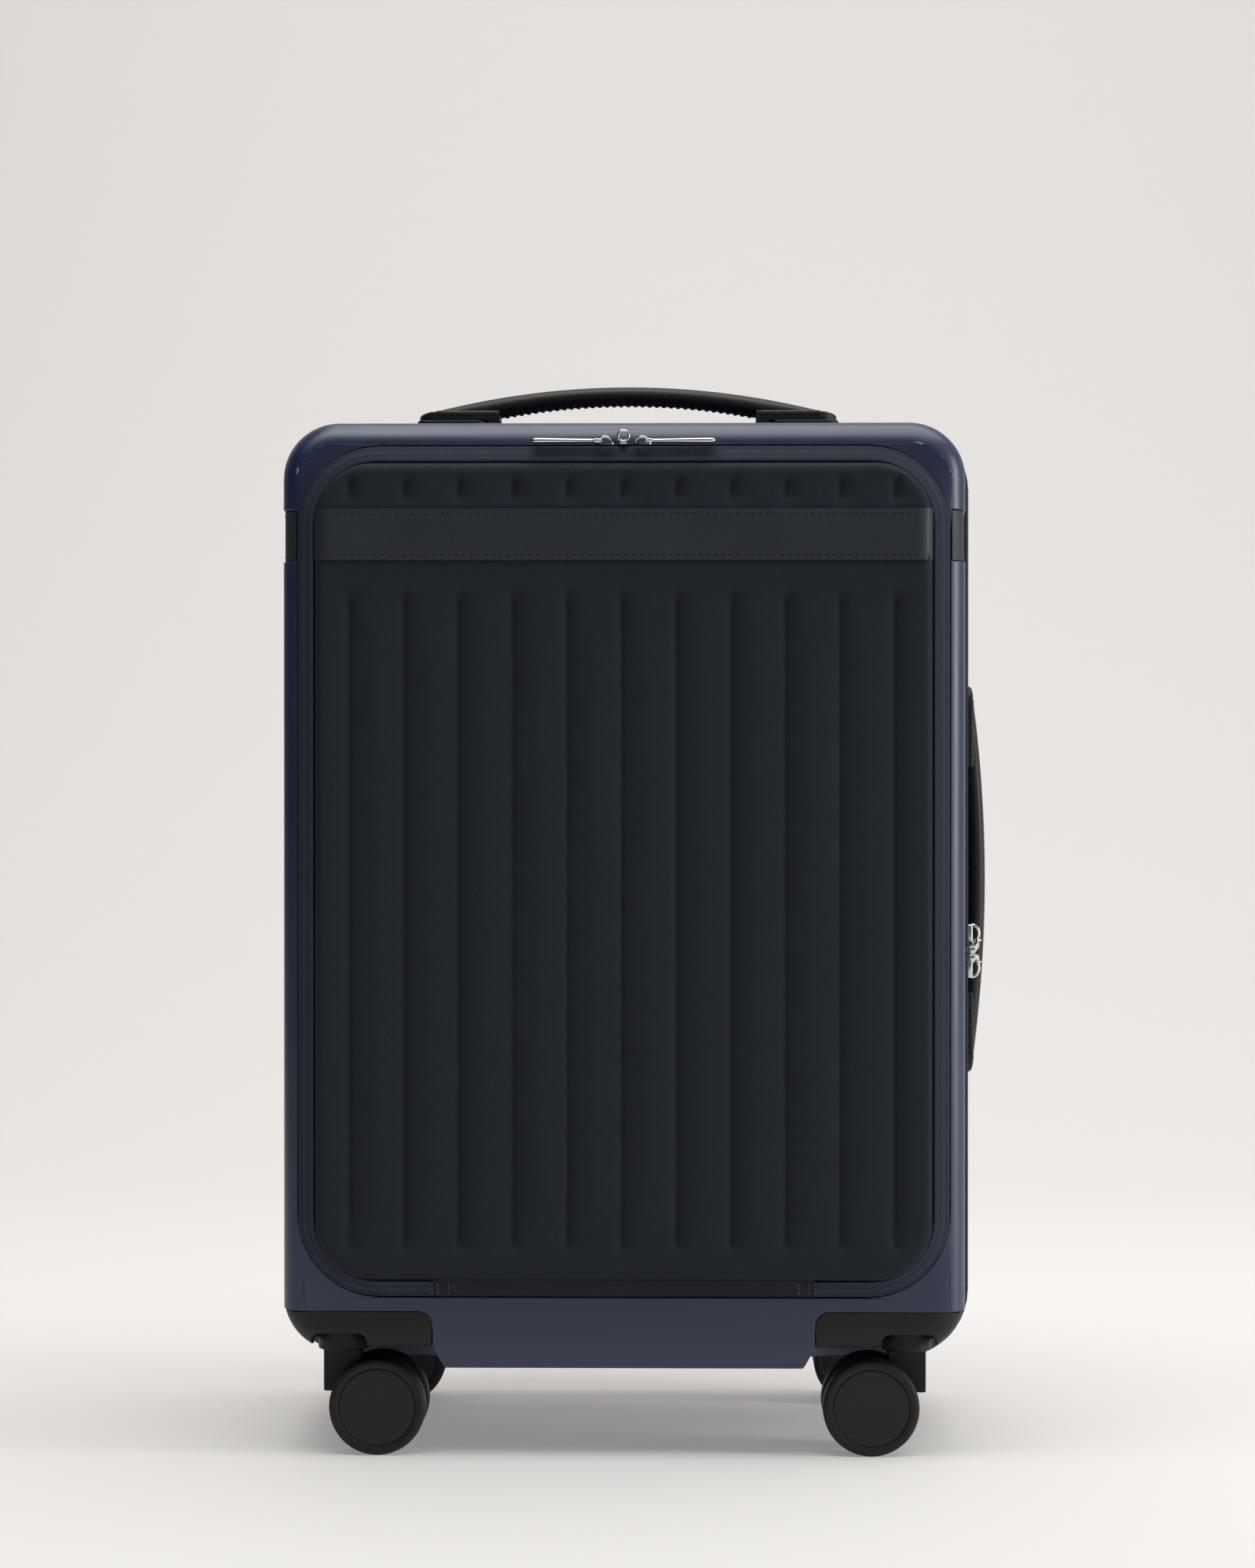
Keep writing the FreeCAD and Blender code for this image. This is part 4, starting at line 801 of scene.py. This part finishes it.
for cornerName, toRight, toRear in (("front_left", -1, -1), ("front_right", 1, -1), ("rear_left", -1, 1), ("rear_right", 1, 1)):
    buildWheels(cornerName, toRight, toRear)
print("wheels spun")

zipper = {"spotX": 9.7 * mm, "spotY": -111.2 * mm, "spotZ": 522.5 * mm, "pinX": 1.8 * mm, "pinZ": 2.05 * mm,
          "length": 36 * mm, "bail": 3.6 * mm, "wire": 0.5 * mm}


def buildTopZip(word, side):
    base = Matrix.Translation((side * zipper["spotX"], zipper["spotY"], zipper["spotZ"]))
    bm = bmesh.new()
    bmesh.ops.create_cube(bm, size=1, matrix=Matrix.Translation((0, 0, 0.35 * mm)) @
                          Matrix.Diagonal((9.8 * mm, 4.6 * mm, 0.7 * mm, 1)))
    bmesh.ops.bevel(bm, geom=[e for e in bm.edges if abs(e.verts[0].co.z - e.verts[1].co.z) > 0.3 * mm],
                    offset=1.5 * mm, affect="EDGES", segments=4, profile=0.5, material=-1)
    # the D of wire that guards the pull's pin
    for offset in (-0.55 * mm, 0.55 * mm):
        before = set(bm.verts)
        ring = bmesh.ops.create_circle(bm, cap_ends=False, segments=10, radius=zipper["wire"],
                                       matrix=Matrix.Translation((zipper["bail"], offset, 0.5 * mm)))["verts"]
        edges = list({edge for vert in ring for edge in vert.link_edges})
        bmesh.ops.spin(bm, geom=ring + edges, cent=(0, offset, 0.5 * mm), axis=(0, -1, 0), dvec=(0, 0, 0),
                       angle=math.pi, steps=18, use_merge=False)
        fresh = [vert for vert in bm.verts if vert not in before]
        for vert in fresh:
            vert.co.z = max(vert.co.z, 0.2 * mm)
    bmesh.ops.holes_fill(bm, edges=bm.edges, sides=0)
    bmesh.ops.transform(bm, matrix=base, verts=bm.verts)
    makePiece(bm, f"pocket_slider_{word}", chrome, f"zip_slider_{word}", True, [f"top_slider_{word}"])

    pull = bmesh.new()
    sections = [((x * mm, 0, 0), wide * mm, tall * mm, 2.4, 20) for x, wide, tall in
                ((3.2, 1.3, 0.75), (3.6, 1.75, 0.95), (5, 1.8, 1.0), (12, 1.95, 1.12), (24, 2.3, 1.35), (31, 2.5, 1.48),
                 (33.5, 2.5, 1.48), (34.8, 2.2, 1.3), (35.6, 1.5, 0.9), (36, 0.5, 0.3))]
    sweep(pull, sections)
    for face in (-1, 1):
        bmesh.ops.create_uvsphere(pull, u_segments=12, v_segments=8, radius=1, matrix=Matrix.Translation(
            (1.9 * mm, face * 1.95 * mm, 0)) @ Matrix.Diagonal((2.6 * mm, 0.62 * mm, 1.0 * mm, 1)))
    bmesh.ops.create_cone(pull, cap_ends=True, segments=12, radius1=0.48 * mm, radius2=0.48 * mm, depth=4.6 * mm,
                          matrix=Matrix.Rotation(math.pi / 2, 4, "X"))
    turn = Matrix.Rotation(math.pi, 4, "Z") if side < 0 else Matrix.Identity(4)
    lift = Matrix.Translation((side * zipper["pinX"], 0, zipper["pinZ"]))
    bmesh.ops.transform(pull, matrix=base @ lift @ turn, verts=pull.verts)
    makePiece(pull, f"pocket_pull_{word}", chrome, f"zip_pull_{word}", True, [f"top_pull_{word}"])


buildTopZip("left", -1)
buildTopZip("right", 1)


sideZip = {"face": 184.8 * mm, "height": 257 * mm, "apart": 8.5 * mm, "plate": (2.2 * mm, 9.5 * mm, 12 * mm),
           "bail": 4.0 * mm, "stretch": 1.2, "wire": 0.7 * mm, "bailShift": 0.8 * mm, "eye": 1.85 * mm, "eyeShift": 2.6 * mm,
           "pinX": 4.9 * mm, "tilt": 10}


def buildSideZip(word, sign):
    # plate and D bail on the zip, with its pull hanging from the wire
    base = Vector((sideZip["face"], 0, sideZip["height"] + sign * sideZip["apart"]))
    bm = bmesh.new()
    deep, wide, tall = sideZip["plate"]
    bmesh.ops.create_cube(bm, size=1, matrix=Matrix.Translation(base + Vector((deep / 2, 0, 0))) @
                          Matrix.Diagonal((deep, wide, tall, 1)))
    bmesh.ops.bevel(bm, geom=[e for e in bm.edges if max(v.co.x for v in e.verts) > base.x + deep / 2],
                    offset=0.9 * mm, affect="EDGES", segments=3, profile=0.5, material=-1)
    centre = Vector((deep - 0.2 * mm, 0, sign * sideZip["bailShift"]))
    before = set(bm.verts)
    start = Matrix.Translation(centre + Vector((0, 0, sideZip["bail"]))) @ Matrix.Rotation(math.pi / 2, 4, "Y")
    ring = bmesh.ops.create_circle(bm, cap_ends=True, segments=12, radius=sideZip["wire"], matrix=start)["verts"]
    edges = list({edge for vert in ring for edge in vert.link_edges})
    faces = list({face for vert in ring for face in vert.link_faces})
    bmesh.ops.spin(bm, geom=ring + edges + faces, cent=centre, axis=(0, 1, 0), dvec=(0, 0, 0), angle=math.pi,
                   steps=18, use_merge=False)
    for vert in set(bm.verts) - before:
        vert.co = base + Vector((vert.co.x, vert.co.y * 1.5, centre.z + (vert.co.z - centre.z) * sideZip["stretch"]))
    makePiece(bm, f"case_slider_plate_{word}", chrome, f"case_slider_{word}", True, [f"side_slider_{word}"])

    pull = bmesh.new()
    sections = [((x * mm, 0, sign * drop * mm), halfWide * mm, tall * mm, 2.4, 20) for x, drop, halfWide, tall in
                ((1.5, 0, 0.9, 0.7), (3, -0.6, 1.5, 1.1), (6, -2.4, 1.8, 1.4), (9, -3.2, 1.8, 1.5), (20, -3.6, 2.1, 1.8),
                 (30, -3.8, 2.6, 2.3), (33.5, -3.8, 2.7, 2.4), (35.3, -3.8, 2.2, 1.9), (36, -3.8, 1.0, 0.9))]
    sweep(pull, sections)
    hoop = bmesh.ops.create_circle(pull, cap_ends=False, segments=10, radius=0.6 * mm, matrix=Matrix.Translation(
        (sideZip["eye"], 0, 0)) @ Matrix.Rotation(math.pi / 2, 4, "X"))["verts"]
    hoopEdges = list({edge for vert in hoop for edge in vert.link_edges})
    bmesh.ops.spin(pull, geom=hoop + hoopEdges, cent=(0, 0, 0), axis=(0, 0, 1), dvec=(0, 0, 0), angle=2 * math.pi,
                   steps=28, use_merge=True)
    hang = Matrix.Translation(base + Vector((sideZip["pinX"], 0, -sign * sideZip["eyeShift"])))
    bmesh.ops.transform(pull, matrix=hang @ Matrix.Rotation(-math.radians(90 + sideZip["tilt"]), 4, "Z"), verts=pull.verts)
    makePiece(pull, f"case_pull_tab_{word}", chrome, f"case_pull_{word}", True, [f"side_pull_{word}"])


buildSideZip("lower", -1)
buildSideZip("upper", 1)


def buildSpring():
    # the coil under the button, drawn at its rest length; the real one shortens when the button is pressed, this one
    # does not follow it
    low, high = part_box("button_spring")
    wire, turns, steps = 0.35 * mm, 5, 120
    centre = Vector(((low.x + high.x) / 2, (low.y + high.y) / 2, low.z + wire))
    outer = (high.x - low.x) / 2 - wire
    bm = bmesh.new()
    ring = bmesh.ops.create_circle(bm, cap_ends=True, segments=8, radius=wire, matrix=Matrix.Translation(
        centre + Vector((outer, 0, 0))) @ Matrix.Rotation(math.pi / 2, 4, "X"))["verts"]
    edges = list({edge for vert in ring for edge in vert.link_edges})
    faces = list({face for vert in ring for face in vert.link_faces})
    rise = high.z - low.z - 2 * wire
    bmesh.ops.spin(bm, geom=ring + edges + faces, cent=centre, axis=(0, 0, 1), dvec=(0, 0, rise / steps),
                   angle=2 * math.pi * turns, steps=steps, use_merge=False)
    coil = makePiece(bm, "button_coil", plainSteel, None, True, ["button_spring"], 60)
    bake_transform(coil)


buildSpring()


def buildLockRing():
    bm = bmesh.new()
    for offset in (-1.1 * mm, 1.1 * mm):
        centre = (0, zipper["spotY"] + offset, zipper["spotZ"] + 4.4 * mm)
        ring = bmesh.ops.create_circle(bm, cap_ends=False, segments=12, radius=0.68 * mm,
                                       matrix=Matrix.Translation((2.75 * mm, centre[1], centre[2])))["verts"]
        edges = list({edge for vert in ring for edge in vert.link_edges})
        bmesh.ops.spin(bm, geom=ring + edges, cent=centre, axis=(0, 1, 0), dvec=(0, 0, 0), angle=2 * math.pi,
                       steps=36, use_merge=True)
    foot = bmesh.ops.create_cube(bm, size=1, matrix=Matrix.Translation((0, -0.1098, 0.5237)) @
                                 Matrix.Diagonal((4 * mm, 4.6 * mm, 2 * mm, 1)))
    bmesh.ops.bevel(bm, geom=list({e for v in foot["verts"] for e in v.link_edges}), offset=0.5 * mm, affect="EDGES",
                    segments=2, profile=0.5, material=-1)
    makePiece(bm, "lock_double_ring", chrome, "front_half", True, ["lock_ring"])


buildLockRing()
print("zip hardware made")

tape = {"proud": 3 * mm, "corner": 37 * mm, "coilPitch": 2.0 * mm, "half": 184.5 * mm, "low": 37 * mm, "high": 543 * mm}
tapeOutline = {"half": tape["half"], "low": tape["low"], "high": tape["high"], "corner": tape["corner"]}


def outlinePoint(distance, outline, inset=0.0):
    # the point and heading at a distance along the rounded rectangle
    corner = outline["corner"]
    coreX, coreLow, coreHigh = outline["half"] - corner, outline["low"] + corner, outline["high"] - corner
    runs = [(2 * coreX, (-coreX, coreLow), 0), (coreHigh - coreLow, (coreX, coreLow), 90),
            (2 * coreX, (coreX, coreHigh), 180), (coreHigh - coreLow, (-coreX, coreHigh), 270)]
    quarter = corner * math.pi / 2
    reach = corner - inset
    for length, (x, z), heading in runs:
        way = math.radians(heading)
        if distance < length:
            return Vector((x + math.cos(way) * distance + math.sin(way) * reach, 0,
                           z + math.sin(way) * distance - math.cos(way) * reach)), way
        distance -= length
        if distance < quarter:
            turned = way + distance / corner
            x, z = x + math.cos(way) * length, z + math.sin(way) * length
            return Vector((x + math.sin(turned) * reach, 0, z - math.cos(turned) * reach)), turned
        distance -= quarter
    return outlinePoint(0, outline, inset)


def buildMainZip(word, side, body):
    bm = bmesh.new()
    profile = [(6.2 * mm, side * 5.9 * mm), (1.6 * mm, side * 6.0 * mm), (0.5 * mm, side * 5.6 * mm), (0.05 * mm, side * 4.6 * mm),
               (0.0, side * 3.4 * mm), (0.25 * mm, side * 2.4 * mm), (1.0 * mm, side * 1.9 * mm), (1.9 * mm, side * 1.7 * mm),
               (6.2 * mm, side * 1.6 * mm)]
    ringSkin(bm, tapeOutline, profile, True)
    weaveByOutline(bm, tapeOutline, lambda spot: spot.y)
    makePiece(bm, f"{word}_zip_cloth", zipTape, body, True, [f"{word}_zip_tape"], 50)
    coil = bmesh.new()
    whole = 2 * math.pi * tape["corner"] + 4 * (tape["half"] - tape["corner"]) + 2 * (
        tape["high"] - tape["low"] - 2 * tape["corner"])
    count = int(whole / tape["coilPitch"])
    for step in range(count):
        spot, heading = outlinePoint((step + (0.5 if side > 0 else 0)) * whole / count, tapeOutline, 1.25 * mm)
        spot.y = side * 0.55 * mm
        turn = Matrix.Rotation(-heading, 4, "Y")
        bmesh.ops.create_icosphere(coil, subdivisions=1, radius=1, matrix=Matrix.Translation(spot) @ turn @
                                   Matrix.Diagonal((0.62 * mm, 1.75 * mm, 0.8 * mm, 1)))
    makePiece(coil, f"{word}_zip_coil", coilPlastic, body, True)


buildMainZip("front", -1, "front_half")
buildMainZip("rear", 1, "rear_half")


def buildCaseHinge():
    # woven strip down the left side that the two halves fold about
    bm = bmesh.new()
    ys = (8.0, 7.0, 6.0, 4.5, 3.0, 1.5, 0.0, -1.5, -3.0, -4.5, -6.0, -7.0, -8.0)
    rows = []
    for y in ys:
        x = -185.15 + (2.7 if abs(y) > 7.5 else 1.2 if abs(y) > 6.5 else 0)
        rows.append([bm.verts.new((x * mm, y * mm, z * mm)) for z in [110 + 7.5 * step for step in range(49)]])
    lines = [[bm.edges.new(pair) for pair in zip(row, row[1:])] for row in rows]
    for first, second in zip(lines, lines[1:]):
        bmesh.ops.bridge_loops(bm, edges=first + second)
    bmesh.ops.recalc_face_normals(bm, faces=bm.faces)
    if sum(face.normal.x for face in bm.faces) > 0:
        bmesh.ops.reverse_faces(bm, faces=bm.faces)
    layer = bm.loops.layers.uv.new("weave")
    for face in bm.faces:
        for loop in face.loops:
            loop[layer].uv = (loop.vert.co.z, loop.vert.co.y)
    bmesh.ops.solidify(bm, geom=bm.faces[:], thickness=0.5 * mm)
    strip = makePiece(bm, "case_hinge_strip", zipTape, None, True, ["hinge_tape"], 50)
    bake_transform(strip)


buildCaseHinge()
print("main zip and hinge made")

bandRow = {"inset": 2.4 * mm, "pitch": 3.8 * mm, "draft": math.tan(math.radians(3.2)), "low": 463.3 * mm, "high": 489.2 * mm}


def buildBandStitches(word, side, body):
    stitches = bmesh.new()
    halfAtZip, depth, corner = 181.5 * mm - 0.75 * mm, (112 if side > 0 else 97) * mm, 20 * mm
    for height in (bandRow["low"] + bandRow["inset"], bandRow["high"] - bandRow["inset"]):
        for hand in (-1, 1):
            y = 11 * mm
            while y < (depth - corner if side > 0 else depth):
                x = halfAtZip - (y - 6 * mm) * bandRow["draft"]
                spot = Vector((hand * x, side * y, height))
                stitchRow(stitches, [(spot, Vector((-hand * bandRow["draft"], side, 0)))], Vector((hand, 0, 0)),
                          2.8 * mm, 0.38 * mm)
                y += bandRow["pitch"]
        if side > 0:
            x = -154 * mm
            while x < 154 * mm:
                stitchRow(stitches, [(Vector((x, depth - 0.75 * mm, height)), Vector((1, 0, 0)))], Vector((0, 1, 0)),
                          2.8 * mm, 0.38 * mm)
                x += bandRow["pitch"]
    makePiece(stitches, f"{word}_band_stitches", darkThread, body, True)


buildBandStitches("front", -1, "front_half")
buildBandStitches("rear", 1, "rear_half")


def roundPanel(name, nodeName, material, body, corner, ripple, thick):
    # a cloth panel with a slight ripple, cut to the CAD sheet's outline
    low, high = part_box(nodeName)
    outline = {"half": high.x, "low": low.z, "high": high.z, "corner": corner}
    bm = bmesh.new()
    across, up = round(2 * high.x / (6 * mm)), round((high.z - low.z) / (6 * mm))
    bmesh.ops.create_grid(bm, x_segments=across, y_segments=up, size=0.5)
    place = Matrix.Translation((0, 0, (high.z + low.z) / 2)) @ Matrix.Rotation(math.pi / 2, 4, "X")
    bmesh.ops.transform(bm, matrix=place @ Matrix.Diagonal((2 * high.x, high.z - low.z, 1, 1)), verts=bm.verts)
    middle = (low.y + high.y) / 2
    for vert in bm.verts:
        x, z = fitCorner(vert.co.x, vert.co.z, outline)
        edge = smoothStep(insideDistance(x, z, outline) / (25 * mm))
        wave = math.sin(x * 31 + z * 9) * math.sin(z * 23 - x * 7) + 0.5 * math.sin(x * 67 + z * 41)
        vert.co = (x, middle + ripple * wave * edge, z)
    bmesh.ops.recalc_face_normals(bm, faces=bm.faces)
    area = sum(face.calc_area() for face in bm.faces)
    piece = makePiece(bm, name, material, body, True, [nodeName])
    wall = piece.modifiers.new("thickness", "SOLIDIFY")
    wall.thickness = thick
    wall.offset = 0
    return outline


roundPanel("rear_lining_cloth", "rear_lining", liningCloth, "rear_half", 31 * mm, 0.25 * mm, 1.0 * mm)
dividerOutline = roundPanel("divider_cloth", "divider_panel", liningCloth, "front_half", 31 * mm, 0.25 * mm, 1.2 * mm)


def buildDividerTrim():
    # bound edge and the zip across the divider
    bm = bmesh.new()
    ringSkin(bm, dividerOutline, [(0.4 * mm, -8.6 * mm), (9 * mm, -8.7 * mm), (9.6 * mm, -9.4 * mm), (0.4 * mm, -9.5 * mm)], True)
    weaveByOutline(bm, dividerOutline, lambda spot: spot.x + spot.z)
    makePiece(bm, "divider_binding", webbingFinish, "front_half", True)
    coil = bmesh.new()
    for step in range(150):
        bmesh.ops.create_icosphere(coil, subdivisions=1, radius=1, matrix=Matrix.Translation(
            ((step - 74.5) * 2 * mm, -8.6 * mm, 0.44)) @ Matrix.Diagonal((0.7 * mm, 0.5 * mm, 1.6 * mm, 1)))
    makePiece(coil, "divider_zip", coilPlastic, "front_half", True)


buildDividerTrim()


def buildSleeve():
    # padded laptop sleeve with a bound top edge
    low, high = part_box("laptop_sleeve")
    outline = {"half": high.x, "low": low.z, "high": high.z, "corner": 10 * mm}
    bm = bmesh.new()
    bmesh.ops.create_grid(bm, x_segments=60, y_segments=68, size=0.5)
    place = Matrix.Translation((0, 0, (high.z + low.z) / 2)) @ Matrix.Rotation(math.pi / 2, 4, "X")
    bmesh.ops.transform(bm, matrix=place @ Matrix.Diagonal((2 * high.x, high.z - low.z, 1, 1)), verts=bm.verts)
    for vert in bm.verts:
        x, z = fitCorner(vert.co.x, vert.co.z, outline)
        inside = insideDistance(x, z, outline)
        puff = 1 - (1 - min(inside / (14 * mm), 1)) ** 2
        binding = 0.6 * mm if high.z - z < 12 * mm else 0
        vert.co = (x, high.y - 0.4 * mm - (high.y - low.y - 0.6 * mm) * puff + binding, z)
    rim = [edge for edge in bm.edges if edge.is_boundary]
    grown = bmesh.ops.extrude_edge_only(bm, edges=rim)
    rim = [item for item in grown["geom"] if isinstance(item, bmesh.types.BMEdge) and item.is_boundary]
    for vert in {v for edge in rim for v in edge.verts}:
        vert.co.y = high.y
    bmesh.ops.contextual_create(bm, geom=rim)
    sleeve = makePiece(bm, "laptop_sleeve_pad", darkCloth, "front_half", True, ["laptop_sleeve"])


buildSleeve()


def buildStraps():
    # webbing across the rear half, slack by a hair between its anchor and the buckle
    low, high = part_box("compression_straps")
    bm = bmesh.new()
    layer = bm.loops.layers.uv.new("weave")
    for side in (-1, 1):
        rows = []
        for step in range(41):
            x = side * (0.021 + (high.x - 0.021 - 0.5 * mm) * step / 40)
            sag = math.sin(math.pi * step / 40) * 0.25 * mm
            rows.append([bm.verts.new((x, (low.y + high.y) / 2 - sag, low.z + (high.z - low.z) * part / 8)) for part in range(9)])
        lines = [[bm.edges.new(pair) for pair in zip(row, row[1:])] for row in rows]
        for first, second in zip(lines, lines[1:]):
            bmesh.ops.bridge_loops(bm, edges=first + second)
    for face in bm.faces:
        for loop in face.loops:
            loop[layer].uv = (loop.vert.co.x, loop.vert.co.z)
    bmesh.ops.recalc_face_normals(bm, faces=bm.faces)
    straps = makePiece(bm, "webbing_straps", webbingFinish, "rear_half", True, ["compression_straps"])
    wall = straps.modifiers.new("thickness", "SOLIDIFY")
    wall.thickness = 1.3 * mm
    wall.offset = 0


buildStraps()
print("inside finished")

# floor colour, the painted fill glow of the paper, and the painted shade on the backdrop's left, low part
studio = {"floor": (0.62, 0.604, 0.590), "paintedFillGlow": (1.0, 0.965, 0.935), "paintedFillPower": 0.235, "wallBase": 1.1, "bend": 1.4, "wallTop": 4.2, "half": 5.0, "front": -4.0,
          "shade": (0.10, 0.098, 0.096), "paintedShadeAcross": (-2.4, -0.75), "paintedShadeUp": (0.5, 1.6),
          "dark": (0.0, 0.0, 0.0), "light": (0.36, 0.36, 0.36)}


def buildStudio():
    # floor and back wall in one sweep; the paper glows faintly as painted fill light that lifts the shadows on it, and
    # its left, low part is painted shade
    bm = bmesh.new()
    start = [bm.verts.new((x, studio["front"], 0)) for x in (-studio["half"], studio["half"])]
    edge = bm.edges.new(start)
    grown = bmesh.ops.extrude_edge_only(bm, edges=[edge])
    edge = next(item for item in grown["geom"] if isinstance(item, bmesh.types.BMEdge))
    for vert in edge.verts:
        vert.co.y = studio["wallBase"]
    turned = bmesh.ops.spin(bm, geom=[edge], cent=(0, studio["wallBase"], studio["bend"]), axis=(1, 0, 0), dvec=(0, 0, 0),
                            angle=math.pi / 2, steps=24)
    edge = next(item for item in turned["geom_last"] if isinstance(item, bmesh.types.BMEdge))
    grown = bmesh.ops.extrude_edge_only(bm, edges=[edge])
    for item in grown["geom"]:
        if isinstance(item, bmesh.types.BMVert):
            item.co.z = studio["wallTop"]
    bmesh.ops.recalc_face_normals(bm, faces=bm.faces)
    for face in bm.faces:
        face.smooth = True
    mesh = bpy.data.meshes.new("backdrop")
    bm.to_mesh(mesh)
    bm.free()
    backdrop = bpy.data.objects.new("backdrop", mesh)
    bpy.context.scene.collection.objects.link(backdrop)
    # painted fill light: the paper glows at this strength, lightening the soft shadows under the case
    paper = Finish("pale paper with painted glow and shade", studio["floor"], 0.8, Specular_IOR_Level=0.1, Emission_Strength=studio["paintedFillPower"])
    spot = paper.node("ShaderNodeTexCoord", output="Object")
    # painted shade: the paper turns dark to the left and low down, so the case's left side gets and reflects less light
    lit, high = [paper.node("ShaderNodeMapRange", {"interpolation_type": "SMOOTHSTEP"},
                            {"Value": paper.axis(spot, way), "From Min": start, "From Max": end})
                 for way, start, end in (("X", *studio["paintedShadeAcross"]), ("Z", *studio["paintedShadeUp"]))]
    lit = lit.math("MAXIMUM", high)
    paper.feed("Base Color", paper.mix(lit, studio["shade"], studio["floor"]))
    # painted fill glow, turning to painted shade on the left, low part
    paper.feed("Emission Color", paper.mix(lit, studio["shade"], studio["paintedFillGlow"]))
    mesh.materials.append(paper.material)

    world = bpy.data.worlds.new("studio")
    bpy.context.scene.world = world
    world.use_nodes = True
    # the room is brighter on the right
    tree = world.node_tree
    spot = tree.nodes.new("ShaderNodeTexCoord")
    parts = tree.nodes.new("ShaderNodeSeparateXYZ")
    ramp = tree.nodes.new("ShaderNodeMapRange")
    ramp.inputs["From Min"].default_value, ramp.inputs["From Max"].default_value = -0.3, 0.9
    shade = tree.nodes.new("ShaderNodeMix")
    shade.data_type = "RGBA"
    shade.inputs[6].default_value, shade.inputs[7].default_value = (*studio["dark"], 1), (*studio["light"], 1)
    tree.links.new(spot.outputs["Generated"], parts.inputs[0])
    tree.links.new(parts.outputs["X"], ramp.inputs["Value"])
    tree.links.new(ramp.outputs["Result"], shade.inputs[0])
    tree.links.new(shade.outputs[2], tree.nodes["Background"].inputs["Color"])

    lamps = {"softTop": ((0.25, -0.1, 2.5), (0, 0.0, 0), (2.4, 2.4), 55), "keyRight": ((2.3, -0.5, 0.7), (0, 0, 0.3), (0.5, 1.5), 25),
             "wallWash": ((-0.9, -0.6, 3.0), (-0.9, 2.4, 1.2), (2.0, 2.0), 26)}
    for name, (spot, target, size, power) in lamps.items():
        light = bpy.data.lights.new(name, "AREA")
        light.energy = power
        light.shape = "RECTANGLE"
        light.size, light.size_y = size
        lamp = bpy.data.objects.new(name, light)
        lamp.location = spot
        lamp.rotation_euler = (Vector(target) - Vector(spot)).to_track_quat("-Z", "Y").to_euler()
        bpy.context.scene.collection.objects.link(lamp)


def buildCamera():
    # level, a little to the right of the case's centre line
    distance, side, height, tilt = 2.05, math.radians(1.1), 0.3586, math.radians(-0.31)
    data = bpy.data.cameras.new("camera")
    data.lens = 86.6
    data.sensor_width = 36
    camera = bpy.data.objects.new("camera", data)
    camera.location = (distance * math.sin(side), -distance * math.cos(side), height)
    camera.rotation_euler = (math.pi / 2 + tilt, 0, side)
    bpy.context.scene.collection.objects.link(camera)
    bpy.context.scene.camera = camera


buildStudio()
buildCamera()
bpy.context.scene.view_settings.view_transform = "Standard"
print("studio and camera set")
